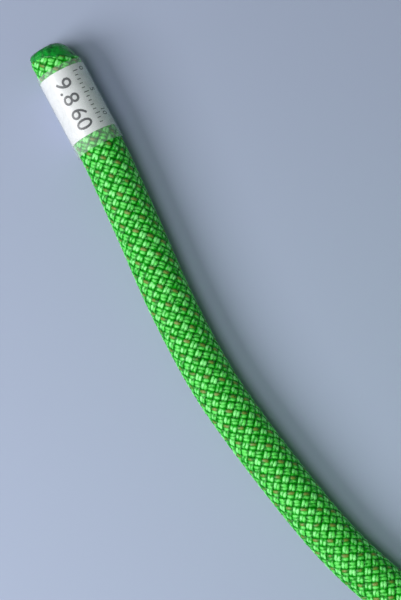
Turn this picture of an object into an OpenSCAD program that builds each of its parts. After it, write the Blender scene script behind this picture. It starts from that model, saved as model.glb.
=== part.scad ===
// Single dynamic climbing rope: a braided sheath over a core of parallel strands.
// One end lies out along the floor and shows its cut end, printed band and clear film sleeve.
// The rest is wound into a round coil held by ties, and the far end lies on top of the coil.
// The origin is on the coil's axis at the floor, with +Z up and the free end towards -X.

/* [Rope] */
// Diameter of the rope over its sheath
rope_d = 9.8; // [9:0.1:11]
// Whole length of the rope from end to end
rope_length = 60000; // [30000:1000:80000]
// Wall thickness of the braided sheath
sheath_t = 1; // [0.7:0.1:1.4]
// Clearance round each core strand
strand_gap = 0.12; // [0.08:0.01:0.2]
// Length of rope in which the core strands turn once
core_lay = 220; // [160:10:400]
// Diameter of the coloured tracer thread in the core
marker_d = 0.45; // [0.3:0.05:0.5]

/* [Cut ends] */
// Height of the melted plug that closes each end
tip_h = 3.4; // [2.6:0.1:5]
// How much narrower the melted plug is than the rope
tip_shrink = 0.6; // [0.2:0.1:1.2]
// Radius of the plug's crown
crown_r = 7; // [6:0.5:12]
// How far the crown's high point lies off the rope's axis
crown_off = 1.2; // [0:0.1:1.5]

/* [Printed band and film sleeve] */
// Length of the white band
band_l = 14.7; // [10:0.1:16.6]
// Thickness of the white band
band_t = 0.1; // [0.08:0.01:0.3]
// Length of the clear film sleeve shrunk over the band
film_l = 18.6; // [17.7:0.1:19.6]
// Thickness of the clear film
film_t = 0.15; // [0.1:0.01:0.4]
// Distance from the rope's very end to the film
film_from_end = 5.6; // [5:0.1:6]
// Length of film that passes the band on the side of the cut end
film_over_band = 1; // [0:0.1:1]
// Clearance from rope to band and from band to film
wrap_gap = 0.05; // [0.03:0.01:0.1]

/* [Coil] */
// Clear hole through the coil
coil_bore_d = 55; // [50:1:80]
// Layers of rope between the hole and the outside
coil_layers = 9; // [6:1:10]
// How far each layer beds into the one inside it
layer_bed = 0.65; // [0:0.05:1]
// Share of the rope's radius that the turns stand proud of the packed coil
turn_relief = 0.65; // [0.4:0.05:0.8]

/* [Ties] */
// Ties round the coil
tie_count = 3; // [2:1:3]
// Width of a tie's webbing
tie_w = 20; // [12:1:25]
// Thickness of a tie's webbing
tie_t = 1.8; // [1:0.1:2]
// How deep the pulled tie sinks into the turns
tie_bite = 2.2; // [2.2:0.1:3]
// Clearance between a tie and the turns that it holds
tie_gap = 0.2; // [0.1:0.05:0.3]
// Length of the fastened end that laps over the tie outside the coil
lap_l = 60; // [40:5:80]
// Thickness of the lapped end
lap_t = 1.2; // [0.8:0.1:1.6]

/* [Hidden] */
$fn = 64;
rope_r = rope_d / 2;
film_ri = rope_r + band_t + 2 * wrap_gap;
film_ro = film_ri + film_t;
band_ri = rope_r + wrap_gap;
band_ro = band_ri + band_t;
// The film stands proud of the rope, so it lifts the rope's end by this much
end_lift = film_ro - rope_r;

// Core: nine strands round three pack closely in a round sheath
ring_strands = 9;
centre_strands = 3;
core_r = rope_r - sheath_t;
ring_share = sin(180 / ring_strands) / (1 + sin(180 / ring_strands));
strand_r = core_r * ring_share - strand_gap;
ring_r = core_r - strand_gap - strand_r;
centre_r = (strand_r + strand_gap / 2) / sin(180 / centre_strands);
marker_r = core_r - strand_gap - marker_d / 2;
// Each strand's distance from the rope's axis and its angle round it
strand_places = [
    for (i = [0:ring_strands - 1]) [ring_r, 360 * i / ring_strands],
    for (i = [0:centre_strands - 1]) [centre_r, 360 * (i + 1 / 6) / centre_strands]
];
marker_place = [marker_r, 180 / ring_strands];

// Coil: layers a little less than one rope apart, turns one rope apart
layer_pitch = rope_d - layer_bed;
inner_r = coil_bore_d / 2 + rope_r;
outer_r = inner_r + (coil_layers - 1) * layer_pitch;
mean_turn = PI * (inner_r + outer_r);

// Route of the free end, from its cut end to where it meets the coil's outer turn, measured
// from that meeting point and from a rope that lies on the floor. The last is the tangent point.
lead_route = [
    [-205.1, 137.25, end_lift], [-199.65, 127.7, end_lift], [-194.2, 118.15, end_lift],
    [-190.75, 111.3, end_lift / 2], [-186.1, 101.7, 0], [-178.7, 86.35, 0],
    [-169.45, 70.4, 0], [-157.15, 54.35, 0], [-143.75, 39.05, 0], [-131.65, 28.55, 0],
    [-115, 16.6, 0], [-97, 7.4, 0], [-79.5, 1.9, 0], [-61.5, 0, 0], [-41, 0, 0],
    [-20, 0, 0], [0, 0, 0]
];
// Route of the far end, from where it leaves the coil's inner turn, up on to the coil and
// round to its cut end, measured from the point where it leaves
tail_route = [
    [0, 0, 0], [11.5, 11, 2.5], [18.5, 27.5, 6.8], [17.5, 46, rope_d], [8.5, 64.5, rope_d],
    [-10, 78, rope_d], [-35, 81.5, rope_d], [-58.5, 73.5, rope_d], [-78, 56, rope_d],
    [-88, 31, rope_d], [-89, 5.5, rope_d], [-85.5, -7, rope_d + end_lift],
    [-82.5, -19.5, rope_d + end_lift], [-79.5, -32, rope_d + end_lift]
];
free_length = path_length(lead_route) + path_length(tail_route);
coil_turns = round((rope_length - free_length) / (coil_layers * mean_turn));
// Height of the middle of the top turn, and of the whole coil
top_turn_z = rope_r + coil_turns * rope_d;
coil_h = top_turn_z + rope_r;

// Angle round the coil at which its inner turn ends and the far end climbs out
tail_angle = -58;
lead_end = [0, -outer_r, rope_r];
tail_start = [inner_r * cos(tail_angle), inner_r * sin(tail_angle), top_turn_z];
route_steps = 2;
lead = spline([for (p = lead_route) p + lead_end], route_steps);
tail = spline([for (p = tail_route) p + tail_start], route_steps);
// The core's strands are drawn as far as the rope runs clear of the coil, which is three
// points of its route away from it
core_skip = 3 * route_steps;
lead_core = [for (i = [0:len(lead) - 1 - core_skip]) lead[i]];
tail_core = [for (i = [core_skip:len(tail) - 1]) tail[i]];

rope_sides = 12;
strand_sides = 6;
marker_sides = 4;
nothing = 0.01;

function unit(v) = v / norm(v);
function path_length(p, i = 0) =
    i >= len(p) - 1 ? 0 : norm(p[i + 1] - p[i]) + path_length(p, i + 1);

// Smooth curve through the route's points
function spline_point(a, b, c, d, t) =
    (2 * b + (c - a) * t + (2 * a - 5 * b + 4 * c - d) * t * t
        + (3 * b - 3 * c + d - a) * t * t * t) / 2;
function spline(p, steps) = let(last = len(p) - 1) [
    for (i = [0:last - 1], k = [0:steps - 1])
        spline_point(p[max(i - 1, 0)], p[i], p[i + 1], p[min(i + 2, last)], k / steps),
    p[last]
];

// Directions along, across and up from the cord at point i of a path
function along(p, i) = unit(p[min(i + 1, len(p) - 1)] - p[max(i - 1, 0)]);
function across(p, i) = unit(cross(along(p, i), [0, 0, 1]));
function upward(p, i) = cross(across(p, i), along(p, i));
// Point at radius r and angle a round the cord at point i
function round_cord(p, i, r, a) = r * cos(a) * across(p, i) + r * sin(a) * upward(p, i);
// Lengths from the path's start to each of its points
function lengths(p) = [
    for (i = 0, s = 0; i < len(p); s = s + (i < len(p) - 1 ? norm(p[i + 1] - p[i]) : 0), i = i + 1) s
];
// Points of the rings of a rod of radius r that keeps its place [radius, angle] in the rope
function rod_points(p, r, sides, place = [0, 0], lay = core_lay) = let(s = lengths(p)) [
    for (i = [0:len(p) - 1], k = [0:sides - 1])
        p[i] + round_cord(p, i, place[0], place[1] + 360 * s[i] / lay)
            + round_cord(p, i, r, 360 * k / sides)
];
// Faces between rings of points that start at number first, two triangles to a side
function wall_faces(rings, sides, first = 0) = [
    for (i = [0:rings - 2], k = [0:sides - 1], half = [0, 1])
        let(a = first + i * sides, n = (k + 1) % sides)
            half == 0 ? [a + k, a + sides + k, a + sides + n] : [a + k, a + sides + n, a + n]
];
function reversed(list) = [for (i = [len(list) - 1:-1:0]) list[i]];

// Solid rod swept along a path
module swept_rod(path, r, sides, place = [0, 0]) {
    rings = len(path);
    polyhedron(
        points = rod_points(path, r, sides, place),
        faces = concat(
            wall_faces(rings, sides),
            [[for (k = [0:sides - 1]) k]],
            [[for (k = [sides - 1:-1:0]) (rings - 1) * sides + k]]
        )
    );
}

// Hollow tube swept along a path
module swept_tube(path, r_out, r_in, sides) {
    rings = len(path);
    inner = rings * sides;
    last = (rings - 1) * sides;
    polyhedron(
        points = concat(rod_points(path, r_out, sides), rod_points(path, r_in, sides)),
        faces = concat(
            wall_faces(rings, sides),
            [for (f = wall_faces(rings, sides, inner)) reversed(f)],
            [for (k = [0:sides - 1]) let(n = (k + 1) % sides) [k, n, inner + n, inner + k]],
            [for (k = [0:sides - 1]) let(n = (k + 1) % sides)
                [last + k, inner + last + k, inner + last + n, last + n]]
        )
    );
}

// Places children at a cut end, with +Z pointing out of the rope
module at_end(end, inside) {
    d = end - inside;
    translate(end) rotate([0, 90, atan2(d[1], d[0])]) children();
}
module at_lead_end() at_end(lead[0], lead[2 * route_steps]) children();
module at_tail_end() at_end(tail[len(tail) - 1], tail[len(tail) - 1 - 2 * route_steps]) children();

// Melted plug: sheath and core fused by the hot knife, with a crown that leans to one side
module fused_tip() {
    plug_r = rope_r - tip_shrink / 2;
    intersection() {
        cylinder(r = plug_r, h = tip_h);
        translate([0, crown_off, tip_h - crown_r]) sphere(r = crown_r);
    }
}

// Tube from z = -from down to z = -from - length
module wrap(from, length, r_in, r_out) {
    translate([0, 0, -from - length]) difference() {
        cylinder(r = r_out, h = length);
        translate([0, 0, -1]) cylinder(r = r_in, h = length + 2);
    }
}
module band() wrap(film_from_end - tip_h + film_over_band, band_l, band_ri, band_ro);
module film() wrap(film_from_end - tip_h, film_l, film_ri, film_ro);

module core_strand(i) color("whitesmoke") swept_rod(lead_core, strand_r, strand_sides, strand_places[i]);

// Half section of the wound coil, with its turns standing proud at the sides and the top
module coil_section() {
    relief = rope_r * (1 - turn_relief);
    translate([inner_r, 0]) square([outer_r - inner_r, top_turn_z + relief]);
    translate([inner_r - relief, rope_r])
        square([outer_r - inner_r + 2 * relief, top_turn_z - rope_r]);
    for (k = [0:coil_turns], x = [inner_r, outer_r])
        translate([x, rope_r + k * rope_d]) circle(r = rope_r);
    for (j = [1:coil_layers - 2])
        translate([inner_r + j * layer_pitch, top_turn_z]) circle(r = rope_r);
}

// Rectangle in the section plane with rounded corners, from its low corner to its high corner
module rounded_rect(low, high, r) {
    size = high - low;
    translate(low + [r, 0]) square([size[0] - 2 * r, size[1]]);
    translate(low + [0, r]) square([size[0], size[1] - 2 * r]);
    for (x = [low[0] + r, high[0] - r], z = [low[1] + r, high[1] - r])
        translate([x, z]) circle(r = r);
}

// Corners of the section that a tie is pulled round, grown by a distance
function tie_low(grow) = [inner_r - rope_r + tie_bite - grow, tie_bite - grow];
function tie_high(grow) = [outer_r + rope_r - tie_bite + grow, coil_h - tie_bite + grow];

// Stands a section up in the plane through the coil's axis, w wide
module upright(w) translate([0, w / 2, 0]) rotate([90, 0, 0]) linear_extrude(w) children();

// Room that a tie needs in the coil
module tie_room() {
    beyond = 2 * rope_r;
    upright(tie_w + 2 * tie_gap) difference() {
        translate(tie_low(beyond)) square(tie_high(beyond) - tie_low(beyond));
        rounded_rect(tie_low(0), tie_high(0), rope_r);
    }
}

// Angle of each tie round the coil. The first is past the point where the free end leaves
// the coil, and the far end climbs out between it and the next.
tie_first = -75;
function tie_angle(i) = tie_first + 360 * i / tie_count;

module tie(i) color("dimgray") rotate([0, 0, tie_angle(i)]) {
    outside = tie_gap + tie_t;
    upright(tie_w) difference() {
        rounded_rect(tie_low(outside), tie_high(outside), rope_r + outside);
        rounded_rect(tie_low(tie_gap), tie_high(tie_gap), rope_r + tie_gap);
    }
    upright(tie_w) translate([tie_high(outside)[0] - nothing, (coil_h - lap_l) / 2])
        square([lap_t + nothing, lap_l]);
}

module sheath_lead() color("limegreen") swept_tube(lead, rope_r, core_r, rope_sides);
module core_marker() color("orangered") swept_rod(lead_core, marker_d / 2, marker_sides, marker_place);
module fused_tip_free() color("darkgreen") at_lead_end() fused_tip();
module label_band_free() color("white") at_lead_end() band();
module film_sleeve_free() color("lightcyan", 0.4) at_lead_end() film();
module rope_coil() color("limegreen") difference() {
    rotate_extrude() coil_section();
    for (i = [0:tie_count - 1]) rotate([0, 0, tie_angle(i)]) tie_room();
}
module sheath_tail() color("limegreen") swept_tube(tail, rope_r, core_r, rope_sides);
module core_tail() color("whitesmoke")
    for (place = strand_places) swept_rod(tail_core, strand_r, strand_sides, place);
module fused_tip_far() color("darkgreen") at_tail_end() fused_tip();
module label_band_far() color("white") at_tail_end() band();
module film_sleeve_far() color("lightcyan", 0.4) at_tail_end() film();

strand_count = ring_strands + centre_strands;
strand_names = [for (i = [1:strand_count]) str("core_strand_", i)];
tie_names = [for (i = [1:tie_count]) str("tie_", i)];

sheath_lead();
for (i = [0:strand_count - 1]) core_strand(i);
core_marker();
fused_tip_free();
label_band_free();
film_sleeve_free();
rope_coil();
sheath_tail();
core_tail();
fused_tip_far();
label_band_far();
film_sleeve_far();
for (i = [0:tie_count - 1]) tie(i);
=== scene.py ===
"""A dynamic climbing rope: a braided sheath over a core, cut ends that are melted, banded and
sleeved in clear film, and the rest of its length in a tied coil.

All lengths are in metres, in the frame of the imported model: the origin is on the coil's axis at
the floor, +Z is up, and the free end lies towards -X.
"""

import logging
import math
from dataclasses import dataclass
from enum import Enum
from typing import Iterable, Optional

import bmesh
import bpy
import numpy as np
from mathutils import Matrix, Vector, noise


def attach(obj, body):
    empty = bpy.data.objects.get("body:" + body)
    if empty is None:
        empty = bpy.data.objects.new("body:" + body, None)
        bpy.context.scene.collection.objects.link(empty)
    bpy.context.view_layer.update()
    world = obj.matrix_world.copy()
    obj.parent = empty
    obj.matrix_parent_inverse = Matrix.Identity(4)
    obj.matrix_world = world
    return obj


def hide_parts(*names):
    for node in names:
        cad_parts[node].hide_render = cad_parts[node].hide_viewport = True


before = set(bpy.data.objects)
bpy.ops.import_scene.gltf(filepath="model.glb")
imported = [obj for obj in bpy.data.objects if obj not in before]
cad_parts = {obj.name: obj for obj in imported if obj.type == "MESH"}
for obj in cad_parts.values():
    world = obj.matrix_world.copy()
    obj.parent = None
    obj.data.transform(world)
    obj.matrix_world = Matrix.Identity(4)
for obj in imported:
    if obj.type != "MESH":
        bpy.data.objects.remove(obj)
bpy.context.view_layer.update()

logging.basicConfig(level=logging.INFO, format="%(message)s")
log = logging.getLogger("rope")

MM = 0.001
IMAGE_W, IMAGE_H = 401, 600
BODY = "root"

Colour = tuple[float, float, float]
Socket = bpy.types.NodeSocket


# ---------------------------------------------------------------- sizes


@dataclass(frozen=True)
class RopeSize:
    """Sizes of the rope and of its braid."""

    diameter: float = 9.8 * MM
    length: float = 60.0
    braid_pitch: float = 25.1 * MM
    strands: int = 12
    yarn_w: float = 0.86 * MM
    yarn_h: float = 0.56 * MM
    yarn_lift: float = 0.22 * MM

    sheath_t: float = 1.0 * MM
    strand_gap: float = 0.12 * MM
    core_lay: float = 220 * MM

    @property
    def r(self) -> float:
        """Outer radius of the rope."""
        return self.diameter / 2

    @property
    def braid_r(self) -> float:
        """Radius about which the yarns weave in and out."""
        return self.r - self.yarn_lift - self.yarn_h / 2

    @property
    def under_r(self) -> float:
        """Radius of the tube that closes the gaps under the yarns."""
        return self.braid_r - self.yarn_lift - 0.05 * MM


@dataclass(frozen=True)
class WrapSize:
    """Sizes of a cut end and of what is wrapped round it, measured back from the very end."""

    tip_h: float = 3.4 * MM
    film_start: float = 5.6 * MM
    film_l: float = 18.6 * MM
    film_ro: float = 5.25 * MM
    band_start: float = 6.6 * MM


@dataclass(frozen=True)
class CoilSize:
    """Sizes of the wound coil."""

    bore: float = 55 * MM
    layers: int = 9
    layer_bed: float = 0.65 * MM
    turns: int = 15
    cross_over: float = 0.25
    tail_angle: float = math.radians(-58)

    def layer_pitch(self, rope: RopeSize) -> float:
        """Distance between the middles of two layers."""
        return rope.diameter - self.layer_bed

    def inner_r(self, rope: RopeSize) -> float:
        """Radius of the innermost turns' centreline."""
        return self.bore / 2 + rope.r

    def outer_r(self, rope: RopeSize) -> float:
        """Radius of the outermost turns' centreline."""
        return self.inner_r(rope) + (self.layers - 1) * self.layer_pitch(rope)

    def top_z(self, rope: RopeSize) -> float:
        """Height of the top turns' centreline."""
        return rope.r + self.turns * rope.diameter


@dataclass(frozen=True)
class TieSize:
    """Sizes of the ties round the coil."""

    count: int = 3
    first: float = math.radians(-75)
    w: float = 20 * MM
    t: float = 1.8 * MM
    bite: float = 2.2 * MM
    gap: float = 0.2 * MM
    lap_l: float = 60 * MM
    lap_t: float = 1.2 * MM
    shoulder: float = 7 * MM

    def angles(self) -> list[float]:
        """Angle of each tie round the coil."""
        return [self.first + math.tau * i / self.count for i in range(self.count)]


ROPE = RopeSize()
WRAP = WrapSize()
COIL = CoilSize()
TIES = TieSize()
END_LIFT = WRAP.film_ro - ROPE.r

# The free end's route, from the point where the rope meets the coil, and the far end's, from the
# point where it leaves the coil, in the part's own points.
LEAD_ROUTE = [
    (-0.2051, 0.13725, END_LIFT), (-0.19965, 0.1277, END_LIFT), (-0.1942, 0.11815, END_LIFT),
    (-0.19075, 0.1113, END_LIFT / 2), (-0.1861, 0.1017, 0), (-0.1787, 0.08635, 0),
    (-0.16945, 0.0704, 0), (-0.15715, 0.05435, 0), (-0.14375, 0.03905, 0), (-0.13165, 0.02855, 0),
    (-0.115, 0.0166, 0), (-0.097, 0.0074, 0), (-0.0795, 0.0019, 0), (-0.0615, 0, 0), (-0.041, 0, 0),
    (-0.02, 0, 0), (0, 0, 0),
]
TAIL_ROUTE = [
    (0, 0, 0), (0.0115, 0.011, 0.0025), (0.0185, 0.0275, 0.0068), (0.0175, 0.046, 0.0098),
    (0.0085, 0.0645, 0.0098), (-0.01, 0.078, 0.0098), (-0.035, 0.0815, 0.0098),
    (-0.0585, 0.0735, 0.0098), (-0.078, 0.056, 0.0098), (-0.088, 0.031, 0.0098),
    (-0.089, 0.0055, 0.0098), (-0.0855, -0.007, 0.0098 + END_LIFT),
    (-0.0825, -0.0195, 0.0098 + END_LIFT), (-0.0795, -0.032, 0.0098 + END_LIFT),
]


# ---------------------------------------------------------------- lines


def smooth_step(x: float) -> float:
    """0 below 0, 1 above 1, and smooth between."""
    x = min(max(x, 0.0), 1.0)
    return x * x * (3 - 2 * x)


def turned(angle: float, start: float) -> float:
    """Angle from start, between minus and plus half a turn."""
    return (angle - start + math.pi) % math.tau - math.pi


def spline_through(points: np.ndarray, step: float) -> np.ndarray:
    """Smooth curve through points, with its own points about step apart.

    Args:
        points: the points that it passes.
        step: distance between the points returned.

    Returns:
        An array of points, from the first of points to the last.
    """
    last = len(points) - 1
    out = []
    for i in range(last):
        a, b = points[max(i - 1, 0)], points[i]
        c, d = points[i + 1], points[min(i + 2, last)]
        count = max(1, round(float(np.linalg.norm(c - b)) / step))
        for k in range(count):
            t = k / count
            out.append(
                (2 * b + (c - a) * t + (2 * a - 5 * b + 4 * c - d) * t * t
                 + (3 * b - 3 * c + d - a) * t ** 3) / 2
            )
    out.append(points[last])
    return np.array(out)


def lengths_along(line: np.ndarray) -> np.ndarray:
    """Length from the start of a line to each of its points."""
    steps = np.linalg.norm(np.diff(line, axis=0), axis=1)
    return np.concatenate([[0.0], np.cumsum(steps)])


def points_at(line: np.ndarray, lengths: object) -> np.ndarray:
    """The point of a line at a length along it, or the points at several."""
    s = lengths_along(line)
    return np.stack([np.interp(lengths, s, line[:, k]) for k in range(3)], axis=-1)


def between(line: np.ndarray, start: float, end: float) -> np.ndarray:
    """The points of a line from one length along it to another.

    Args:
        line: the line's points.
        start: where to begin.
        end: where to stop.

    Returns:
        The line's own points between the two, with a point at each of them.
    """
    s = lengths_along(line)
    same = 1e-6
    inside = s[(s > start + same) & (s < end - same)]
    return points_at(line, np.concatenate([[start], inside, [end]]))


def extended(line: np.ndarray, extra: float) -> np.ndarray:
    """A line with a straight piece of length extra put before its first point."""
    ahead = line[0] - line[1]
    return np.concatenate([[line[0] + ahead / np.linalg.norm(ahead) * extra], line])


class RopeLine:
    """The rope's centreline: the free end, the wound coil and the far end."""

    FEWEST_POINTS = 30
    POINT_GAP = 12 * MM
    TIE_POINTS = (3 * MM, 9 * MM, 12 * MM, 15 * MM, 18 * MM)
    TIE_CLEAR = 2 * MM

    def __init__(self, rope: RopeSize, coil: CoilSize, ties: TieSize) -> None:
        """Keeps the sizes and works out where the coil begins and ends.

        Args:
            rope: sizes of the rope.
            coil: sizes of the coil.
            ties: sizes of the ties that pull it in.
        """
        self.rope = rope
        self.coil = coil
        self.ties = ties
        self.lead_end = np.array([0, -coil.outer_r(rope), rope.r])
        inner, angle = coil.inner_r(rope), coil.tail_angle
        self.tail_start = np.array([inner * math.cos(angle), inner * math.sin(angle), coil.top_z(rope)])
        self.layer_turns = coil.turns + coil.cross_over
        self.last_extra = (angle + math.pi / 2) / math.tau

    def pinch(self, rho: float, theta: float, z: float) -> tuple[float, float]:
        """Where a turn goes when the ties pull it in.

        Args:
            rho: distance from the coil's axis.
            theta: angle round it.
            z: height.

        Returns:
            The new distance from the axis and height.
        """
        coil, rope, ties = self.coil, self.rope, self.ties
        reach = 2 * rope.diameter
        inner, outer, top = coil.inner_r(rope), coil.outer_r(rope), coil.top_z(rope)
        for angle in ties.angles():
            aside = abs(rho * turned(theta, angle))
            pull = ties.bite * smooth_step(1 - (aside - ties.w / 2) / ties.shoulder)
            if pull <= 0:
                continue
            rho += pull * max(0.0, 1 - (rho - inner) / reach)
            rho -= pull * max(0.0, 1 - (outer - rho) / reach)
            z += pull * max(0.0, 1 - (z - rope.r) / reach)
            z -= pull * max(0.0, 1 - (top - z) / reach)
        return rho, z

    def turn_angles(self, rho: float, at_surface: bool) -> list[float]:
        """Angles of the points in one turn, from 0 up to a full turn.

        Args:
            rho: radius of the turn.
            at_surface: true for a turn that a tie touches, which gets more points there.

        Returns:
            The angles, counted from where each layer starts its turns.
        """
        count = max(self.FEWEST_POINTS, round(math.tau * rho / self.POINT_GAP))
        found = [math.tau * k / count for k in range(count)]
        if at_surface:
            asides = [side * aside for side in (-1, 1) for aside in self.TIE_POINTS]
            near = [(a + x / rho + math.pi / 2) % math.tau for a in self.ties.angles() for x in asides]
            found = [f for f in found if all(abs(turned(f, n)) > self.TIE_CLEAR / rho for n in near)]
            found = sorted(found + near)
        return found

    def layer_at(self, turns: float) -> int:
        """Which layer the coil is in after some turns, from 0 for the outer one."""
        return min(int(turns / self.layer_turns), self.coil.layers - 1)

    def coil_points(self) -> np.ndarray:
        """The wound length, from the outer turn at the floor to the inner turn on top.

        Returns:
            Its points.
        """
        coil, rope = self.coil, self.rope
        total = coil.layers * coil.turns + (coil.layers - 1) * coil.cross_over + self.last_extra
        points = []
        for turn in range(math.ceil(total)):
            layer = self.layer_at(turn)
            rho = coil.outer_r(rope) - layer * coil.layer_pitch(rope)
            in_layer = turn - layer * self.layer_turns
            surface = layer in (0, coil.layers - 1) or in_layer < 2 or in_layer > coil.turns - 2
            for angle in self.turn_angles(rho, surface):
                at = turn + angle / math.tau
                if 0 < at < total:
                    points.append(self.coil_point(at))
        return np.array(points)

    def coil_point(self, at: float) -> list[float]:
        """One point of the wound length.

        Args:
            at: turns since the coil began.

        Returns:
            Its x, y and z.
        """
        coil, rope = self.coil, self.rope
        layer = self.layer_at(at)
        within = at - layer * self.layer_turns
        turns = coil.turns + (self.last_extra if layer == coil.layers - 1 else 0)
        share = min(within / turns, 1.0)
        climb = share if layer % 2 == 0 else 1 - share
        step_in = smooth_step((within - turns) / coil.cross_over)
        rho = coil.outer_r(rope) - (layer + step_in) * coil.layer_pitch(rope)
        theta = -math.pi / 2 + math.tau * at
        rho, z = self.pinch(rho, theta, rope.r + climb * (coil.turns * rope.diameter))
        return [rho * math.cos(theta), rho * math.sin(theta), z]

    def parts(self, step: float = 3 * MM) -> tuple[np.ndarray, np.ndarray, np.ndarray]:
        """The rope's three stretches in order.

        Args:
            step: distance between the points where it isn't coiled.

        Returns:
            Points of the free end, the coil and the far end.
        """
        lead = spline_through(np.array(LEAD_ROUTE) + self.lead_end, step)
        tail = spline_through(np.array(TAIL_ROUTE) + self.tail_start, step)
        return lead, self.coil_points(), tail


# ---------------------------------------------------------------- meshes


def link(name: str, data: bpy.types.ID) -> bpy.types.Object:
    """Makes an object and puts it in the scene.

    Args:
        name: its name.
        data: its mesh, curve, camera or lamp.

    Returns:
        The object.
    """
    made = bpy.data.objects.new(name, data)
    bpy.context.scene.collection.objects.link(made)
    return made


def joined(name: str, pieces: list[bpy.types.Object]) -> bpy.types.Object:
    """Joins pieces into one, which keeps all their materials.

    Args:
        name: the new piece's name.
        pieces: what to join.

    Returns:
        The new piece.
    """
    chosen = {"active_object": pieces[0], "selected_editable_objects": pieces, "selected_objects": pieces}
    with bpy.context.temp_override(**chosen):
        bpy.ops.object.join()
    pieces[0].name = pieces[0].data.name = name
    return pieces[0]


def lines_mesh(name: str, points: Iterable, edges: list[tuple[int, int]]) -> bpy.types.Mesh:
    """Makes a mesh of edges only.

    Args:
        name: the mesh's name.
        points: its points.
        edges: the numbers of each edge's points.

    Returns:
        The mesh.
    """
    mesh = bpy.data.meshes.new(name)
    mesh.from_pydata([tuple(map(float, p)) for p in points], edges, [])
    return mesh


def mesh_of(name: str, points: Iterable, faces: list, smooth: bool = True) -> bpy.types.Mesh:
    """Makes a mesh from points and faces, shaded smooth or flat.

    Args:
        name: the mesh's name.
        points: its points.
        faces: the numbers of each face's points.
        smooth: whether to shade it smooth.

    Returns:
        The mesh.
    """
    mesh = bpy.data.meshes.new(name)
    mesh.from_pydata([tuple(map(float, p)) for p in points], [], faces)
    mesh.polygons.foreach_set("use_smooth", [smooth] * len(mesh.polygons))
    mesh.update()
    return mesh


def frames_along(line: np.ndarray) -> tuple[np.ndarray, np.ndarray, np.ndarray]:
    """Directions at each point of a line that lies mostly level.

    Args:
        line: the line's points.

    Returns:
        Arrays of the directions along, across and up.
    """
    ahead = np.gradient(line, axis=0)
    ahead /= np.linalg.norm(ahead, axis=1)[:, None]
    side = np.cross(ahead, [0, 0, 1])
    side /= np.linalg.norm(side, axis=1)[:, None]
    return ahead, side, np.cross(side, ahead)


def swept_tube(name: str, line: np.ndarray, radii: np.ndarray, sides: int, pitch: float) -> bpy.types.Mesh:
    """Closed tube along a line, with a UV map that counts turns round and braid pitches along.

    Args:
        name: the mesh's name.
        line: centreline points.
        radii: radius at each of them.
        sides: points in each ring.
        pitch: length that one unit of V stands for.

    Returns:
        The mesh.
    """
    _, side, up = frames_along(line)
    angle = np.arange(sides) * math.tau / sides
    ring = side[:, None] * np.cos(angle)[None, :, None] + up[:, None] * np.sin(angle)[None, :, None]
    points = (line[:, None] + radii[:, None, None] * ring).reshape(-1, 3)
    count = len(line)
    faces = []
    for i in range(count - 1):
        a = i * sides
        for k in range(sides):
            n = (k + 1) % sides
            faces.append((a + k, a + sides + k, a + sides + n, a + n))
    last = (count - 1) * sides
    faces.append(tuple(range(sides)))
    faces.append(tuple(last + k for k in reversed(range(sides))))
    mesh = mesh_of(name, points, faces)
    v = lengths_along(line) / pitch
    uv = np.zeros((len(mesh.loops), 2), np.float32)
    k = np.tile(np.arange(sides), count - 1)
    i = np.repeat(np.arange(count - 1), sides)
    body = (count - 1) * sides * 4
    uv[:body, 0] = (np.stack([k, k, k + 1, k + 1], axis=1) / sides).reshape(-1)
    uv[:body, 1] = np.stack([v[i], v[i + 1], v[i + 1], v[i]], axis=1).reshape(-1)
    layer = mesh.uv_layers.new(name="braid")
    layer.data.foreach_set("uv", uv.reshape(-1))
    return mesh


# ---------------------------------------------------------------- node helpers


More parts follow.
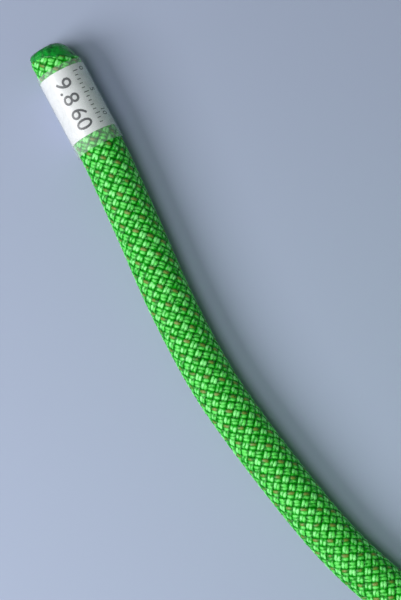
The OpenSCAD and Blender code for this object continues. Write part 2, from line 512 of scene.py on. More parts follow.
class Nodes:
    """Short hand for building a node tree."""

    def __init__(self, tree: bpy.types.NodeTree) -> None:
        """Wraps a tree."""
        self.tree = tree

    def add(self, kind: str, inputs: Optional[dict] = None, **settings: object) -> bpy.types.Node:
        """Adds a node, sets its options, and sets or links its inputs.

        Args:
            kind: the node's type.
            inputs: input name or number to a value or an output socket.
            settings: the node's own properties.

        Returns:
            The node.
        """
        node = self.tree.nodes.new(kind)
        for key, value in settings.items():
            setattr(node, key, value)
        for key, value in (inputs or {}).items():
            self.feed(node.inputs[key], value)
        return node

    def feed(self, socket: Socket, value: object) -> None:
        """Links an output to a socket, or sets the socket's value."""
        if isinstance(value, Socket):
            self.tree.links.new(value, socket)
        else:
            socket.default_value = value

    def out(self, kind: str, inputs: Optional[dict] = None, **settings: object) -> Socket:
        """First output of a node that add makes."""
        return self.add(kind, inputs, **settings).outputs[0]

    def math(self, operation: str, *values: object) -> Socket:
        """Output of a Math node."""
        return self.out("ShaderNodeMath", dict(enumerate(values)), operation=operation)

    def plus(self, a: object, b: object) -> Socket:
        """Sum of two numbers."""
        return self.math("ADD", a, b)

    def minus(self, a: object, b: object) -> Socket:
        """One number less another."""
        return self.math("SUBTRACT", a, b)

    def times(self, a: object, b: object) -> Socket:
        """Product of two numbers."""
        return self.math("MULTIPLY", a, b)

    def over(self, a: object, b: object) -> Socket:
        """One number divided by another."""
        return self.math("DIVIDE", a, b)

    def scaled(self, value: object, factor: object, offset: object) -> Socket:
        """A number times a factor, with an offset added."""
        return self.math("MULTIPLY_ADD", value, factor, offset)

    def remainder(self, value: object, divisor: float) -> Socket:
        """What a division by a whole number leaves, from 0 up to the divisor."""
        return self.math("FLOORED_MODULO", value, divisor)

    def vector(self, operation: str, *values: object) -> Socket:
        """Output of a Vector Math node.

        Args:
            operation: the node's operation.
            values: what it works on; the last value of a SCALE is the factor.

        Returns:
            The output: a number for a LENGTH, and else a vector.
        """
        inputs = {0: values[0], "Scale": values[1]} if operation == "SCALE" else dict(enumerate(values))
        node = self.add("ShaderNodeVectorMath", inputs, operation=operation)
        return node.outputs["Value" if operation == "LENGTH" else "Vector"]

    def spread(self, value: object, low: float, high: float, to_low: float = 0.0, to_high: float = 1.0,
               smooth: bool = False) -> Socket:
        """Output of a Map Range node, clamped.

        Args:
            value: the number to map.
            low: the value that gives to_low.
            high: the value that gives to_high.
            to_low: least result.
            to_high: greatest result.
            smooth: whether the change between them eases in and out.

        Returns:
            The output.
        """
        inputs = {"Value": value, "From Min": low, "From Max": high, "To Min": to_low, "To Max": to_high}
        kind = "SMOOTHSTEP" if smooth else "LINEAR"
        return self.out("ShaderNodeMapRange", inputs, interpolation_type=kind)

    def mix(self, factor: object, a: object, b: object) -> Socket:
        """Output of a colour Mix node."""
        inputs = {0: factor, 6: a, 7: b}
        return self.add("ShaderNodeMix", inputs, data_type="RGBA", blend_type="MIX").outputs[2]

    def noise(self, vector: object, scale: float, detail: float = 2.0,
              roughness: float = 0.5) -> Socket:
        """Factor of a Noise Texture."""
        inputs = {"Vector": vector, "Scale": scale, "Detail": detail, "Roughness": roughness}
        return self.out("ShaderNodeTexNoise", inputs)

    def xyz(self, vector: Socket) -> list[Socket]:
        """The three parts of a vector."""
        return list(self.add("ShaderNodeSeparateXYZ", {0: vector}).outputs)

    def join(self, x: object = 0.0, y: object = 0.0, z: object = 0.0) -> Socket:
        """A vector from three numbers."""
        return self.out("ShaderNodeCombineXYZ", {0: x, 1: y, 2: z})


class MeshTree:
    """A tree of geometry nodes with named inputs, which turns an object's lines into a piece."""

    def __init__(self, name: str, inputs: dict[str, str]) -> None:
        """Starts the tree.

        Args:
            name: the tree's name.
            inputs: each input's name and the type of its socket; the geometry comes before them.
        """
        self.tree = bpy.data.node_groups.new(name, "GeometryNodeTree")
        new_socket = self.tree.interface.new_socket
        self.sockets = {
            key: new_socket(name=key, in_out="INPUT", socket_type="NodeSocket" + kind).identifier
            for key, kind in {"Geometry": "Geometry", **inputs}.items()
        }
        new_socket(name="Geometry", in_out="OUTPUT", socket_type="NodeSocketGeometry")
        self.nodes = Nodes(self.tree)
        self.given = self.nodes.add("NodeGroupInput").outputs

    def dressed(self, mesh: Socket, material: str, smooth: bool = True) -> Socket:
        """Makes instances real, shades them and gives them a material.

        Args:
            mesh: what to dress.
            material: name of the input that holds the material.
            smooth: whether to shade it smooth.

        Returns:
            The dressed mesh.
        """
        mesh = self.nodes.out("GeometryNodeRealizeInstances", {"Geometry": mesh})
        if smooth:
            mesh = self.nodes.out("GeometryNodeSetShadeSmooth", {"Geometry": mesh, "Shade Smooth": True})
        return self.nodes.out("GeometryNodeSetMaterial", {"Geometry": mesh, "Material": self.given[material]})

    def end(self, mesh: Socket) -> None:
        """Ends the tree with the mesh that it returns."""
        self.nodes.add("NodeGroupOutput", {"Geometry": mesh})

    def run(self, name: str, holder: bpy.types.Object, values: dict[str, object]) -> bpy.types.Object:
        """Runs the tree on an object and keeps only the plain mesh that it makes.

        Args:
            name: the new piece's name.
            holder: the object that carries the tree while it runs; it is removed.
            values: input names to values.

        Returns:
            The new piece.
        """
        modifier = holder.modifiers.new("nodes", "NODES")
        modifier.node_group = self.tree
        for key, value in values.items():
            modifier[self.sockets[key]] = value
        holder.update_tag()
        graph = bpy.context.evaluated_depsgraph_get()
        mesh = bpy.data.meshes.new_from_object(holder.evaluated_get(graph), depsgraph=graph)
        mesh.name = name
        holder.modifiers.remove(modifier)
        old = holder.data
        bpy.data.objects.remove(holder)
        bpy.data.meshes.remove(old)
        log.info("%s: %d faces from nodes", name, len(mesh.polygons))
        return link(name, mesh)


def rgba(colour: Colour, factor: float = 1.0) -> tuple[float, float, float, float]:
    """A colour times a factor, with full alpha."""
    red, green, blue = colour
    return (red * factor, green * factor, blue * factor, 1.0)


@dataclass(frozen=True)
class Shader:
    """A new material with its nodes and its Principled shader."""

    material: bpy.types.Material
    nodes: Nodes
    principled: bpy.types.Node

    @classmethod
    def new(cls, name: str, **values: object) -> "Shader":
        """Makes a material and sets the shader's plain values.

        Args:
            name: the material's name.
            values: shader inputs by name, with _ for a space.

        Returns:
            The shader.
        """
        made = bpy.data.materials.new(name)
        made.use_nodes = True
        made.node_tree.nodes.clear()
        nodes = Nodes(made.node_tree)
        principled = nodes.add("ShaderNodeBsdfPrincipled")
        nodes.add("ShaderNodeOutputMaterial", {"Surface": principled.outputs[0]})
        for key, value in values.items():
            principled.inputs[key.replace("_", " ")].default_value = value
        return cls(made, nodes, principled)

    def drive(self, name: str, value: Socket) -> None:
        """Links one of the shader's inputs."""
        self.nodes.tree.links.new(value, self.principled.inputs[name])

    def paint(self, colour: Socket) -> None:
        """Links the base colour."""
        self.drive("Base Color", colour)

    def roughen(self, roughness: Socket) -> None:
        """Links the roughness."""
        self.drive("Roughness", roughness)

    def emboss(self, height: Socket, depth: float, strength: float = 1.0) -> None:
        """Links a bump of a height from 0 to 1 that stands for depth metres."""
        inputs = {"Height": height, "Distance": depth, "Strength": strength}
        self.drive("Normal", self.nodes.out("ShaderNodeBump", inputs))

    def place(self) -> Socket:
        """Object coordinates."""
        return self.nodes.add("ShaderNodeTexCoord").outputs["Object"]

    def uv(self, name: str) -> Socket:
        """A UV map of the piece."""
        return self.nodes.out("ShaderNodeUVMap", uv_map=name)

    def attribute(self, name: str) -> Socket:
        """A number that the piece's points carry."""
        return self.nodes.add("ShaderNodeAttribute", attribute_name=name).outputs["Fac"]


# ---------------------------------------------------------------- finishes


# How strongly a texture from 0 to 1 works: its factor, and the offset that goes with it.
Share = tuple[float, float]


@dataclass(frozen=True)
class YarnTones:
    """Colours of a yarn with light painted in: painted shade between its neighbours, its own colour on its
    flanks, and a painted highlight on its crown.
    """

    deep: Colour
    body: Colour
    crown: Colour

    def toned(self, nodes: Nodes, height: Socket) -> Socket:
        """Colour for a height from 0, in a valley of the braid, to 1, on a crown: painted shade low down, a
        painted highlight at the top.
        """
        low = nodes.mix(nodes.spread(height, 0.0, 0.45, smooth=True), rgba(self.deep), rgba(self.body))
        return nodes.mix(nodes.spread(height, 0.5, 0.95, smooth=True), low, rgba(self.crown))


@dataclass(frozen=True)
class YarnFinish:
    """Twisted polyamide yarn, as it shows where single yarns are modelled.

    Streaks of its filaments wind round it. Its colour has light painted in: a painted highlight on the yarn's
    top where it floats over the others, painted shade on its sides and where it dives under them, and random
    patches that break the painted highlight up.
    """

    name: str
    tones: YarnTones
    filaments: float = 7.0
    twist: float = 0.5
    roughness: float = 0.34
    streaks: Share = (0.7, -0.35)
    patches: Share = (1.5, -0.76)
    patch_scale: float = 850.0
    streak_depth: float = 0.06 * MM

    def make(self) -> bpy.types.Material:
        """Builds the material.

        Returns:
            The material.
        """
        shader = Shader.new(self.name, Specular_IOR_Level=0.44, Anisotropic=0.8)
        nodes = shader.nodes
        shader.drive("Tangent", nodes.out("ShaderNodeTangent", direction_type="UV_MAP", uv_map="yarn"))
        around, along, _ = nodes.xyz(shader.uv("yarn"))
        turn = nodes.scaled(along, self.twist, around)
        streak = nodes.noise(nodes.join(nodes.times(turn, self.filaments), nodes.times(along, 0.8)), 1.6)
        patch = nodes.noise(shader.place(), self.patch_scale)
        # Painted light: the yarn's top and the stretches where it floats get the painted highlight, its sides
        # and dives the painted shade.
        top = nodes.scaled(nodes.math("COSINE", nodes.times(around, math.tau)), -0.5, 0.5)
        afloat = nodes.spread(shader.attribute("rise"), 0.5, 1.0, 0.28, 1.03)
        height = nodes.times(nodes.spread(top, 0.25, 1.0), afloat)
        height = nodes.plus(height, nodes.scaled(streak, *self.streaks))
        height = nodes.plus(height, nodes.scaled(patch, *self.patches))
        shader.paint(self.tones.toned(nodes, height))
        shader.roughen(nodes.spread(streak, 0.3, 0.7, self.roughness + 0.1, self.roughness - 0.06))
        shader.emboss(streak, self.streak_depth, 0.8)
        return shader.material


@dataclass(frozen=True)
class BraidFinish:
    """The same braid drawn on the rope's tube, where it is too far away for single yarns, with light painted
    in: painted highlights on the strands' crowns and painted shade in the valleys where they dive.
    """

    name: str
    tones: YarnTones
    tracer: YarnTones
    shade: YarnTones
    strands: int
    depth: float = 0.7 * MM
    patches: Share = (0.6, -0.3)
    patch_scale: float = 700.0
    worn: Share = (0.9, -0.45)
    worn_scale: float = 26.0

    def make(self) -> bpy.types.Material:
        """Builds the material.

        Returns:
            The material.
        """
        shader = Shader.new(self.name, Specular_IOR_Level=0.4, Roughness=0.42)
        nodes = shader.nodes
        height, way, marked = self.weave(nodes, shader.uv("braid"))
        place = shader.place()
        patch = nodes.scaled(nodes.noise(place, self.patch_scale, 1.0), *self.patches)
        worn = nodes.scaled(nodes.noise(place, self.worn_scale, 3.0, 0.6), *self.worn)
        # lit is painted light: the weave's height gives painted highlights and painted shade, varied by
        # random patches and worn tone.
        lit = nodes.plus(nodes.scaled(height, 1.2, -0.08), nodes.plus(patch, worn))
        accent = nodes.mix(way, self.tracer.toned(nodes, lit), self.shade.toned(nodes, lit))
        shader.paint(nodes.mix(marked, self.tones.toned(nodes, lit), accent))
        shader.emboss(height, self.depth)
        return shader.material

    def weave(self, nodes: Nodes, uv: Socket) -> tuple[
            Socket, Socket, Socket]:
        """The pattern of strands that pass over and under each other, each of two yarns.

        Args:
            nodes: the material's nodes.
            uv: turns round the rope, and braid pitches along it.

        Returns:
            The height from 0 to 1, which way the strand on top runs (0 or 1), and 1 on the second
            yarn of every other strand.
        """
        u, v, _ = nodes.xyz(uv)
        a = nodes.times(nodes.minus(u, v), float(self.strands))
        b = nodes.times(nodes.plus(u, v), float(self.strands))
        i, j = nodes.math("ROUND", a), nodes.math("ROUND", b)
        da, db = nodes.minus(a, i), nodes.minus(b, j)
        way = nodes.remainder(nodes.plus(i, j), 2.0)
        across = nodes.scaled(way, nodes.minus(db, da), da)
        along = nodes.scaled(way, nodes.minus(da, db), db)
        off = nodes.over(nodes.minus(nodes.math("ABSOLUTE", across), 0.25), 0.25)
        crown = nodes.math("SQRT", nodes.math("MAXIMUM", nodes.minus(1.0, nodes.times(off, off)), 0.0))
        dive = nodes.math("COSINE", nodes.times(along, math.pi))
        height = nodes.times(crown, nodes.scaled(dive, 0.7, 0.3))
        own = nodes.scaled(way, nodes.minus(j, i), i)
        even = nodes.math("LESS_THAN", nodes.remainder(own, 2.0), 0.5)
        return height, way, nodes.times(even, nodes.math("GREATER_THAN", across, 0.0))


@dataclass(frozen=True)
class ShadedSheath:
    """The bottom of the gaps between yarns, coloured a dark green that is painted shade."""

    name: str
    colour: Colour
    grain_scale: float = 2500.0

    def make(self) -> bpy.types.Material:
        """Builds the material.

        Returns:
            The material.
        """
        shader = Shader.new(self.name, Roughness=0.6, Specular_IOR_Level=0.2)
        grain = shader.nodes.noise(shader.place(), self.grain_scale)
        shader.paint(shader.nodes.mix(grain, rgba(self.colour), rgba(self.colour, 1.6)))
        return shader.material


@dataclass(frozen=True)
class MeltFinish:
    """Polyamide melted by a hot knife: dark, glossy and mottled, and darker in a band round the plug's
    shoulder.
    """

    name: str
    colour: Colour
    burnt: Colour
    cloud_scale: float = 800.0
    fine_scale: float = 2600.0
    depth: float = 0.4 * MM

    def make(self) -> bpy.types.Material:
        """Builds the material.

        Returns:
            The material.
        """
        shader = Shader.new(self.name, Specular_IOR_Level=0.35, Coat_Weight=0.1, Coat_Roughness=0.2)
        nodes = shader.nodes
        place = shader.place()
        cloud = nodes.noise(place, self.cloud_scale, 3.0, 0.6)
        fine = nodes.noise(place, self.fine_scale)
        # Darker in a band round the shoulder, and in random mottles.
        burn = nodes.times(shader.attribute("burn"), 0.75)
        dark = nodes.plus(burn, nodes.spread(cloud, 0.44, 0.66, 0.0, 0.7))
        shader.paint(nodes.mix(nodes.math("MINIMUM", dark, 1.0), rgba(self.colour), rgba(self.burnt)))
        shader.roughen(nodes.spread(cloud, 0.3, 0.7, 0.2, 0.42))
        shader.emboss(nodes.plus(nodes.times(cloud, 0.8), nodes.times(fine, 0.2)), self.depth)
        return shader.material


@dataclass(frozen=True)
class TapeFinish:
    """White printed tape."""

    name: str = "white_tape"
    colour: Colour = (0.86, 0.87, 0.88)
    dull: float = 0.93
    tone_scale: float = 160.0
    grain_scale: float = 700.0

    def make(self) -> bpy.types.Material:
        """Builds the material.

        Returns:
            The material.
        """
        shader = Shader.new(self.name, Roughness=0.38, Specular_IOR_Level=0.5)
        nodes = shader.nodes
        place = shader.place()
        tone = nodes.spread(nodes.noise(place, self.tone_scale, 3.0), 0.35, 0.7)
        shader.paint(nodes.mix(tone, rgba(self.colour), rgba(self.colour, self.dull)))
        shader.emboss(nodes.noise(place, self.grain_scale), 0.05 * MM, 0.5)
        return shader.material


@dataclass(frozen=True)
class InkFinish:
    """Dark print."""

    name: str = "print_ink"
    colour: Colour = (0.012, 0.012, 0.022)
    rubbed: Colour = (0.06, 0.06, 0.09)
    wear_scale: float = 3000.0

    def make(self) -> bpy.types.Material:
        """Builds the material.

        Returns:
            The material.
        """
        shader = Shader.new(self.name, Roughness=0.45)
        wear = shader.nodes.spread(shader.nodes.noise(shader.place(), self.wear_scale), 0.55, 0.8)
        shader.paint(shader.nodes.mix(wear, rgba(self.colour), rgba(self.rubbed)))
        return shader.material


@dataclass(frozen=True)
class FilmFinish:
    """Clear shrunk film: it mostly lets light through, with a gloss and a slight haze. Its whitish colour
    covers it thinly face-on, as the haze, and more thickly at glancing angles, as a painted reflection.
    """

    name: str = "clear_film"
    colour: Colour = (0.8, 0.84, 0.84)
    haze: float = 0.08
    edge: float = 0.35
    wrinkle_scale: float = 500.0

    def make(self) -> bpy.types.Material:
        """Builds the material.

        Returns:
            The material.
        """
        shader = Shader.new(self.name, Base_Color=rgba(self.colour), Roughness=0.16, Specular_IOR_Level=0.6)
        nodes = shader.nodes
        glance = nodes.add("ShaderNodeLayerWeight", {"Blend": 0.35}).outputs["Facing"]
        wrinkle = nodes.noise(shader.place(), self.wrinkle_scale)
        # Face-on the haze; towards glancing angles a painted reflection.
        alpha = nodes.spread(glance, 0.0, 1.0, self.haze, self.edge)
        shader.drive("Alpha", nodes.times(alpha, nodes.spread(wrinkle, 0.3, 0.7, 0.8, 1.2)))
        shader.emboss(wrinkle, 0.08 * MM, 0.6)
        return shader.material


@dataclass(frozen=True)
class WebbingFinish:
    """Hook-and-loop webbing: a ribbed weave with a dull nap, with painted shade in its hollows and a painted
    highlight on its ribs. U runs across it, V along it, in metres.
    """

    name: str
    colour: Colour
    rib: float = 0.9 * MM
    nap: float = 0.5
    fuzz_scale: float = 5200.0
    depth: float = 0.3 * MM

    def make(self) -> bpy.types.Material:
        """Builds the material.

        Returns:
            The material.
        """
        shader = Shader.new(
            self.name, Roughness=0.75, Specular_IOR_Level=0.3, Sheen_Weight=0.25, Sheen_Roughness=0.5,
        )
        nodes = shader.nodes
        u, v, _ = nodes.xyz(shader.uv("strap"))
        skew = nodes.math("PINGPONG", nodes.over(u, self.rib), 1.0)
        row = nodes.plus(nodes.over(v, self.rib), nodes.times(skew, 0.5))
        rib, warp = [
            nodes.math("ABSOLUTE", nodes.math("SINE", nodes.times(at, math.pi)))
            for at in (row, nodes.over(u, self.rib))
        ]
        fuzz = nodes.noise(nodes.join(u, v), self.fuzz_scale, 3.0, 0.7)
        woven = nodes.times(nodes.times(rib, warp), 1 - self.nap)
        height = nodes.plus(woven, nodes.times(fuzz, self.nap))
        # The colour follows the height: painted shade in the weave's hollows and a painted highlight on its
        # ribs, with random fuzz of the nap.
        shader.paint(nodes.mix(height, rgba(self.colour, 0.45), rgba(self.colour, 1.5)))
        shader.emboss(height, self.depth)
        return shader.material


@dataclass(frozen=True)
class FloorFinish:
    """Plain pale floor with painted light: lighter towards the key light, a painted pool of its light round
    bright_spot, and paler again far off, painted light where the lamps' light ends.
    """

    name: str = "floor"
    near: Colour = (0.5, 0.57, 0.75)
    far: Colour = (0.36, 0.41, 0.55)
    beyond: Colour = (0.84, 0.88, 0.98)
    bright_spot: tuple[float, float] = (-0.27, -0.13)
    spot_r: float = 0.26
    lit_r: float = 0.5
    beyond_r: float = 2.0

    def make(self) -> bpy.types.Material:
        """Builds the material.

        Returns:
            The material.
        """
        shader = Shader.new(self.name, Roughness=0.9, Specular_IOR_Level=0.1)
        nodes = shader.nodes
        distance = nodes.vector("LENGTH", nodes.vector("SUBTRACT", shader.place(), (*self.bright_spot, 0.0)))
        near = nodes.spread(distance, 0.0, self.spot_r, smooth=True)
        away = nodes.spread(distance, self.lit_r, self.beyond_r, smooth=True)
        shader.paint(nodes.mix(away, nodes.mix(near, rgba(self.near), rgba(self.far)), rgba(self.beyond)))
        return shader.material


# Yarn colours: in each set the first colour is painted shade for the valleys between yarns, the second the
# yarn's own colour, and the third a painted highlight for its crown.
GREEN = YarnTones((0.0, 0.18, 0.001), (0.001, 0.42, 0.003), (0.27, 1.0, 0.27))
# The second set is the first green with painted shade, for the S yarns, which catch less of the key light
# than the Z yarns; it is also the darker second yarn of every other Z strand.
SHADED_AND_DARKER_GREEN = YarnTones((0.0, 0.15, 0.001), (0.001, 0.31, 0.003), (0.12, 0.82, 0.11))
SHADE = YarnTones((0.001, 0.07, 0.002), (0.002, 0.2, 0.006), (0.05, 0.55, 0.06))
TRACER = YarnTones((0.001, 0.1, 0.003), (0.006, 0.24, 0.006), (0.2, 0.28, 0.04))
CORE = YarnTones((0.3, 0.29, 0.26), (0.66, 0.65, 0.6), (0.85, 0.84, 0.8))
MARKER = YarnTones((0.3, 0.02, 0.01), (0.6, 0.05, 0.03), (0.8, 0.15, 0.1))


# ---------------------------------------------------------------- the braid


class Lay(Enum):
    """Which way a set of strands runs round the rope."""

    S = 1.0
    Z = -1.0


class Grain(Enum):
    """How finely a stretch of yarn is modelled: sample points to a crossing, and points round a yarn."""

    FINE = (3, 8)
    COARSE = (2, 6)


@dataclass(frozen=True)
class YarnSet:
    """A set of yarns that run round the rope the same way, in pairs that are gathered closer by an angle."""

    count: int
    crossings: int
    first: float
    lay: Lay
    pitch: float
    middle_r: float
    lift: float
    width: float
    height: float
    step: float
    ring: int
    yarn: bpy.types.Material
    accent: bpy.types.Material
    gather: float = 0.0


class YarnMaker:
    """Makes stretches of laid or braided yarns from a tree of geometry nodes."""

    INPUTS = {
        "Yarns": "Int", "Crossings": "Int", "First angle": "Float", "Pitch": "Float", "Lay": "Float",
        "Middle radius": "Float", "Lift": "Float", "Yarn width": "Float", "Yarn height": "Float",
        "Step": "Float", "Ring points": "Int", "Yarn material": "Material", "Accent material": "Material",
        "Gather": "Float",
    }

    def __init__(self) -> None:
        """Builds the tree: it copies a line for each yarn, winds and weaves the copies, and thickens them."""
        self.tree = MeshTree("yarns", self.INPUTS)
        nodes, given = self.tree.nodes, self.tree.given
        copies, ahead, along = self.copied()
        yarn = copies.outputs["Duplicate Index"]
        turns = nodes.times(nodes.over(along, given["Pitch"]), math.tau)
        second = nodes.scaled(nodes.remainder(yarn, 2.0), 2.0, -1.0)
        outward = self.outward(ahead, yarn, turns, second)
        wave = self.wave(turns, second)
        radius = nodes.scaled(wave, given["Lift"], given["Middle radius"])
        offset = nodes.vector("SCALE", outward, radius)
        at = nodes.vector("ADD", nodes.out("GeometryNodeInputPosition"), offset)
        moved = nodes.out("GeometryNodeSetPosition", {"Geometry": copies.outputs["Geometry"], "Position": at})
        moved = nodes.out("GeometryNodeSetCurveNormal", {"Curve": moved, "Normal": outward}, mode="FREE")
        self.thicken(moved, wave, along, yarn)

    def copied(self) -> tuple[bpy.types.Node, Socket, Socket]:
        """Makes a curve of the rope's line and copies it once for each yarn.

        Returns:
            The node with the copies, and each point's direction and length along the line.
        """
        nodes, given = self.tree.nodes, self.tree.given
        curve = nodes.out("GeometryNodeMeshToCurve", {0: given["Geometry"]})
        inputs = {"Curve": curve, "Length": given["Step"]}
        curve = nodes.out("GeometryNodeResampleCurve", inputs, mode="LENGTH")
        held = nodes.add("GeometryNodeCaptureAttribute", {"Geometry": curve})
        held.capture_items.new("VECTOR", "Ahead")
        held.capture_items.new("FLOAT", "Along")
        nodes.feed(held.inputs["Ahead"], nodes.out("GeometryNodeInputTangent"))
        nodes.feed(held.inputs["Along"], nodes.add("GeometryNodeSplineParameter").outputs["Length"])
        inputs = {"Geometry": held.outputs["Geometry"], "Amount": given["Yarns"]}
        copies = nodes.add("GeometryNodeDuplicateElements", inputs, domain="SPLINE")
        return copies, held.outputs["Ahead"], held.outputs["Along"]

    def outward(self, ahead: Socket, yarn: Socket, turns: Socket, second: Socket) -> Socket:
        """Direction from the rope's middle to a yarn.

        Args:
            ahead: direction of the rope.
            yarn: number of the yarn.
            turns: angle that the braid has turned.
            second: -1 for the first yarn of a pair and 1 for the second.

        Returns:
            The direction, of length 1.
        """
        nodes, given = self.tree.nodes, self.tree.given
        angle = nodes.scaled(nodes.over(yarn, given["Yarns"]), math.tau, given["First angle"])
        angle = nodes.scaled(turns, given["Lay"], angle)
        angle = nodes.minus(angle, nodes.times(second, given["Gather"]))
        side = nodes.vector("NORMALIZE", nodes.vector("CROSS_PRODUCT", ahead, (0, 0, 1)))
        up = nodes.vector("CROSS_PRODUCT", side, ahead)
        aside = nodes.vector("SCALE", side, nodes.math("COSINE", angle))
        return nodes.vector("ADD", aside, nodes.vector("SCALE", up, nodes.math("SINE", angle)))

    def wave(self, turns: Socket, second: Socket) -> Socket:
        """How a yarn goes over and under, in step with the other yarn of its pair.

        Args:
            turns: angle that the braid has turned.
            second: -1 for the first yarn of a pair and 1 for the second.

        Returns:
            The yarn's height, from -1 under the others to 1 over them.
        """
        nodes, given = self.tree.nodes, self.tree.given
        quarter = nodes.over(nodes.times(given["Crossings"], math.pi / 2), given["Yarns"])
        behind = nodes.times(nodes.times(quarter, second), given["Lay"])
        wave = nodes.math("COSINE", nodes.scaled(turns, given["Crossings"], behind))
        flat = nodes.scaled(nodes.times(wave, wave), -0.5, 1.5)
        return nodes.times(nodes.times(wave, flat), given["Lay"])

    def thicken(self, curves: Socket, wave: Socket, along: Socket, yarn: Socket) -> None:
        """Gives the yarns their section, UV map and materials, and ends the tree.

        Args:
            curves: the woven lines.
            wave: their height, kept as the attribute "rise" from 0 to 1.
            along: length along the rope.
            yarn: number of the yarn.
        """
        nodes, given = self.tree.nodes, self.tree.given
        inputs = {"Resolution": given["Ring points"], "Radius": 0.5}
        ring = nodes.out("GeometryNodeCurvePrimitiveCircle", inputs)
        size = nodes.join(given["Yarn height"], given["Yarn width"], 1.0)
        inputs = {"Geometry": ring, "Rotation": (0.0, 0.0, math.pi), "Scale": size}
        ring = nodes.out("GeometryNodeTransform", inputs)
        around = nodes.add("GeometryNodeCaptureAttribute", {"Geometry": ring})
        around.capture_items.new("FLOAT", "Around")
        nodes.feed(around.inputs["Around"], nodes.add("GeometryNodeSplineParameter").outputs["Factor"])
        inputs = {"Geometry": curves, "Name": "rise", "Value": nodes.scaled(wave, 0.5, 0.5)}
        curves = nodes.out("GeometryNodeStoreNamedAttribute", inputs, data_type="FLOAT", domain="POINT")
        inputs = {"Curve": curves, "Profile Curve": around.outputs["Geometry"], "Fill Caps": True}
        mesh = nodes.out("GeometryNodeCurveToMesh", inputs)
        uv = nodes.join(nodes.plus(around.outputs["Around"], yarn), nodes.over(along, given["Yarn width"]))
        inputs = {"Geometry": mesh, "Name": "yarn", "Value": uv}
        mesh = nodes.out("GeometryNodeStoreNamedAttribute", inputs, data_type="FLOAT2", domain="CORNER")
        mesh = self.tree.dressed(mesh, "Yarn material")
        marked = nodes.math("COMPARE", nodes.remainder(yarn, 4.0), 1.0, 0.1)
        inputs = {"Geometry": mesh, "Selection": marked, "Material": given["Accent material"]}
        self.tree.end(nodes.out("GeometryNodeSetMaterial", inputs))

    def make(self, name: str, line: np.ndarray, yarns: YarnSet) -> bpy.types.Object:
        """Makes one set of yarns along a line.

        Args:
            name: the piece's name.
            line: the rope's centreline there.
            yarns: what the yarns are like.

        Returns:
            The piece, as a plain mesh.
        """
        mesh = lines_mesh(name + "_line", line, [(k, k + 1) for k in range(len(line) - 1)])
        return self.tree.run(name, link(name + "_line", mesh), {
            "Yarns": yarns.count, "Crossings": yarns.crossings, "First angle": yarns.first,
            "Pitch": yarns.pitch, "Lay": yarns.lay.value, "Middle radius": yarns.middle_r, "Lift": yarns.lift,
            "Yarn width": yarns.width, "Yarn height": yarns.height, "Step": yarns.step,
            "Ring points": yarns.ring, "Yarn material": yarns.yarn, "Accent material": yarns.accent,
            "Gather": yarns.gather,
        })


# ---------------------------------------------------------------- the rope


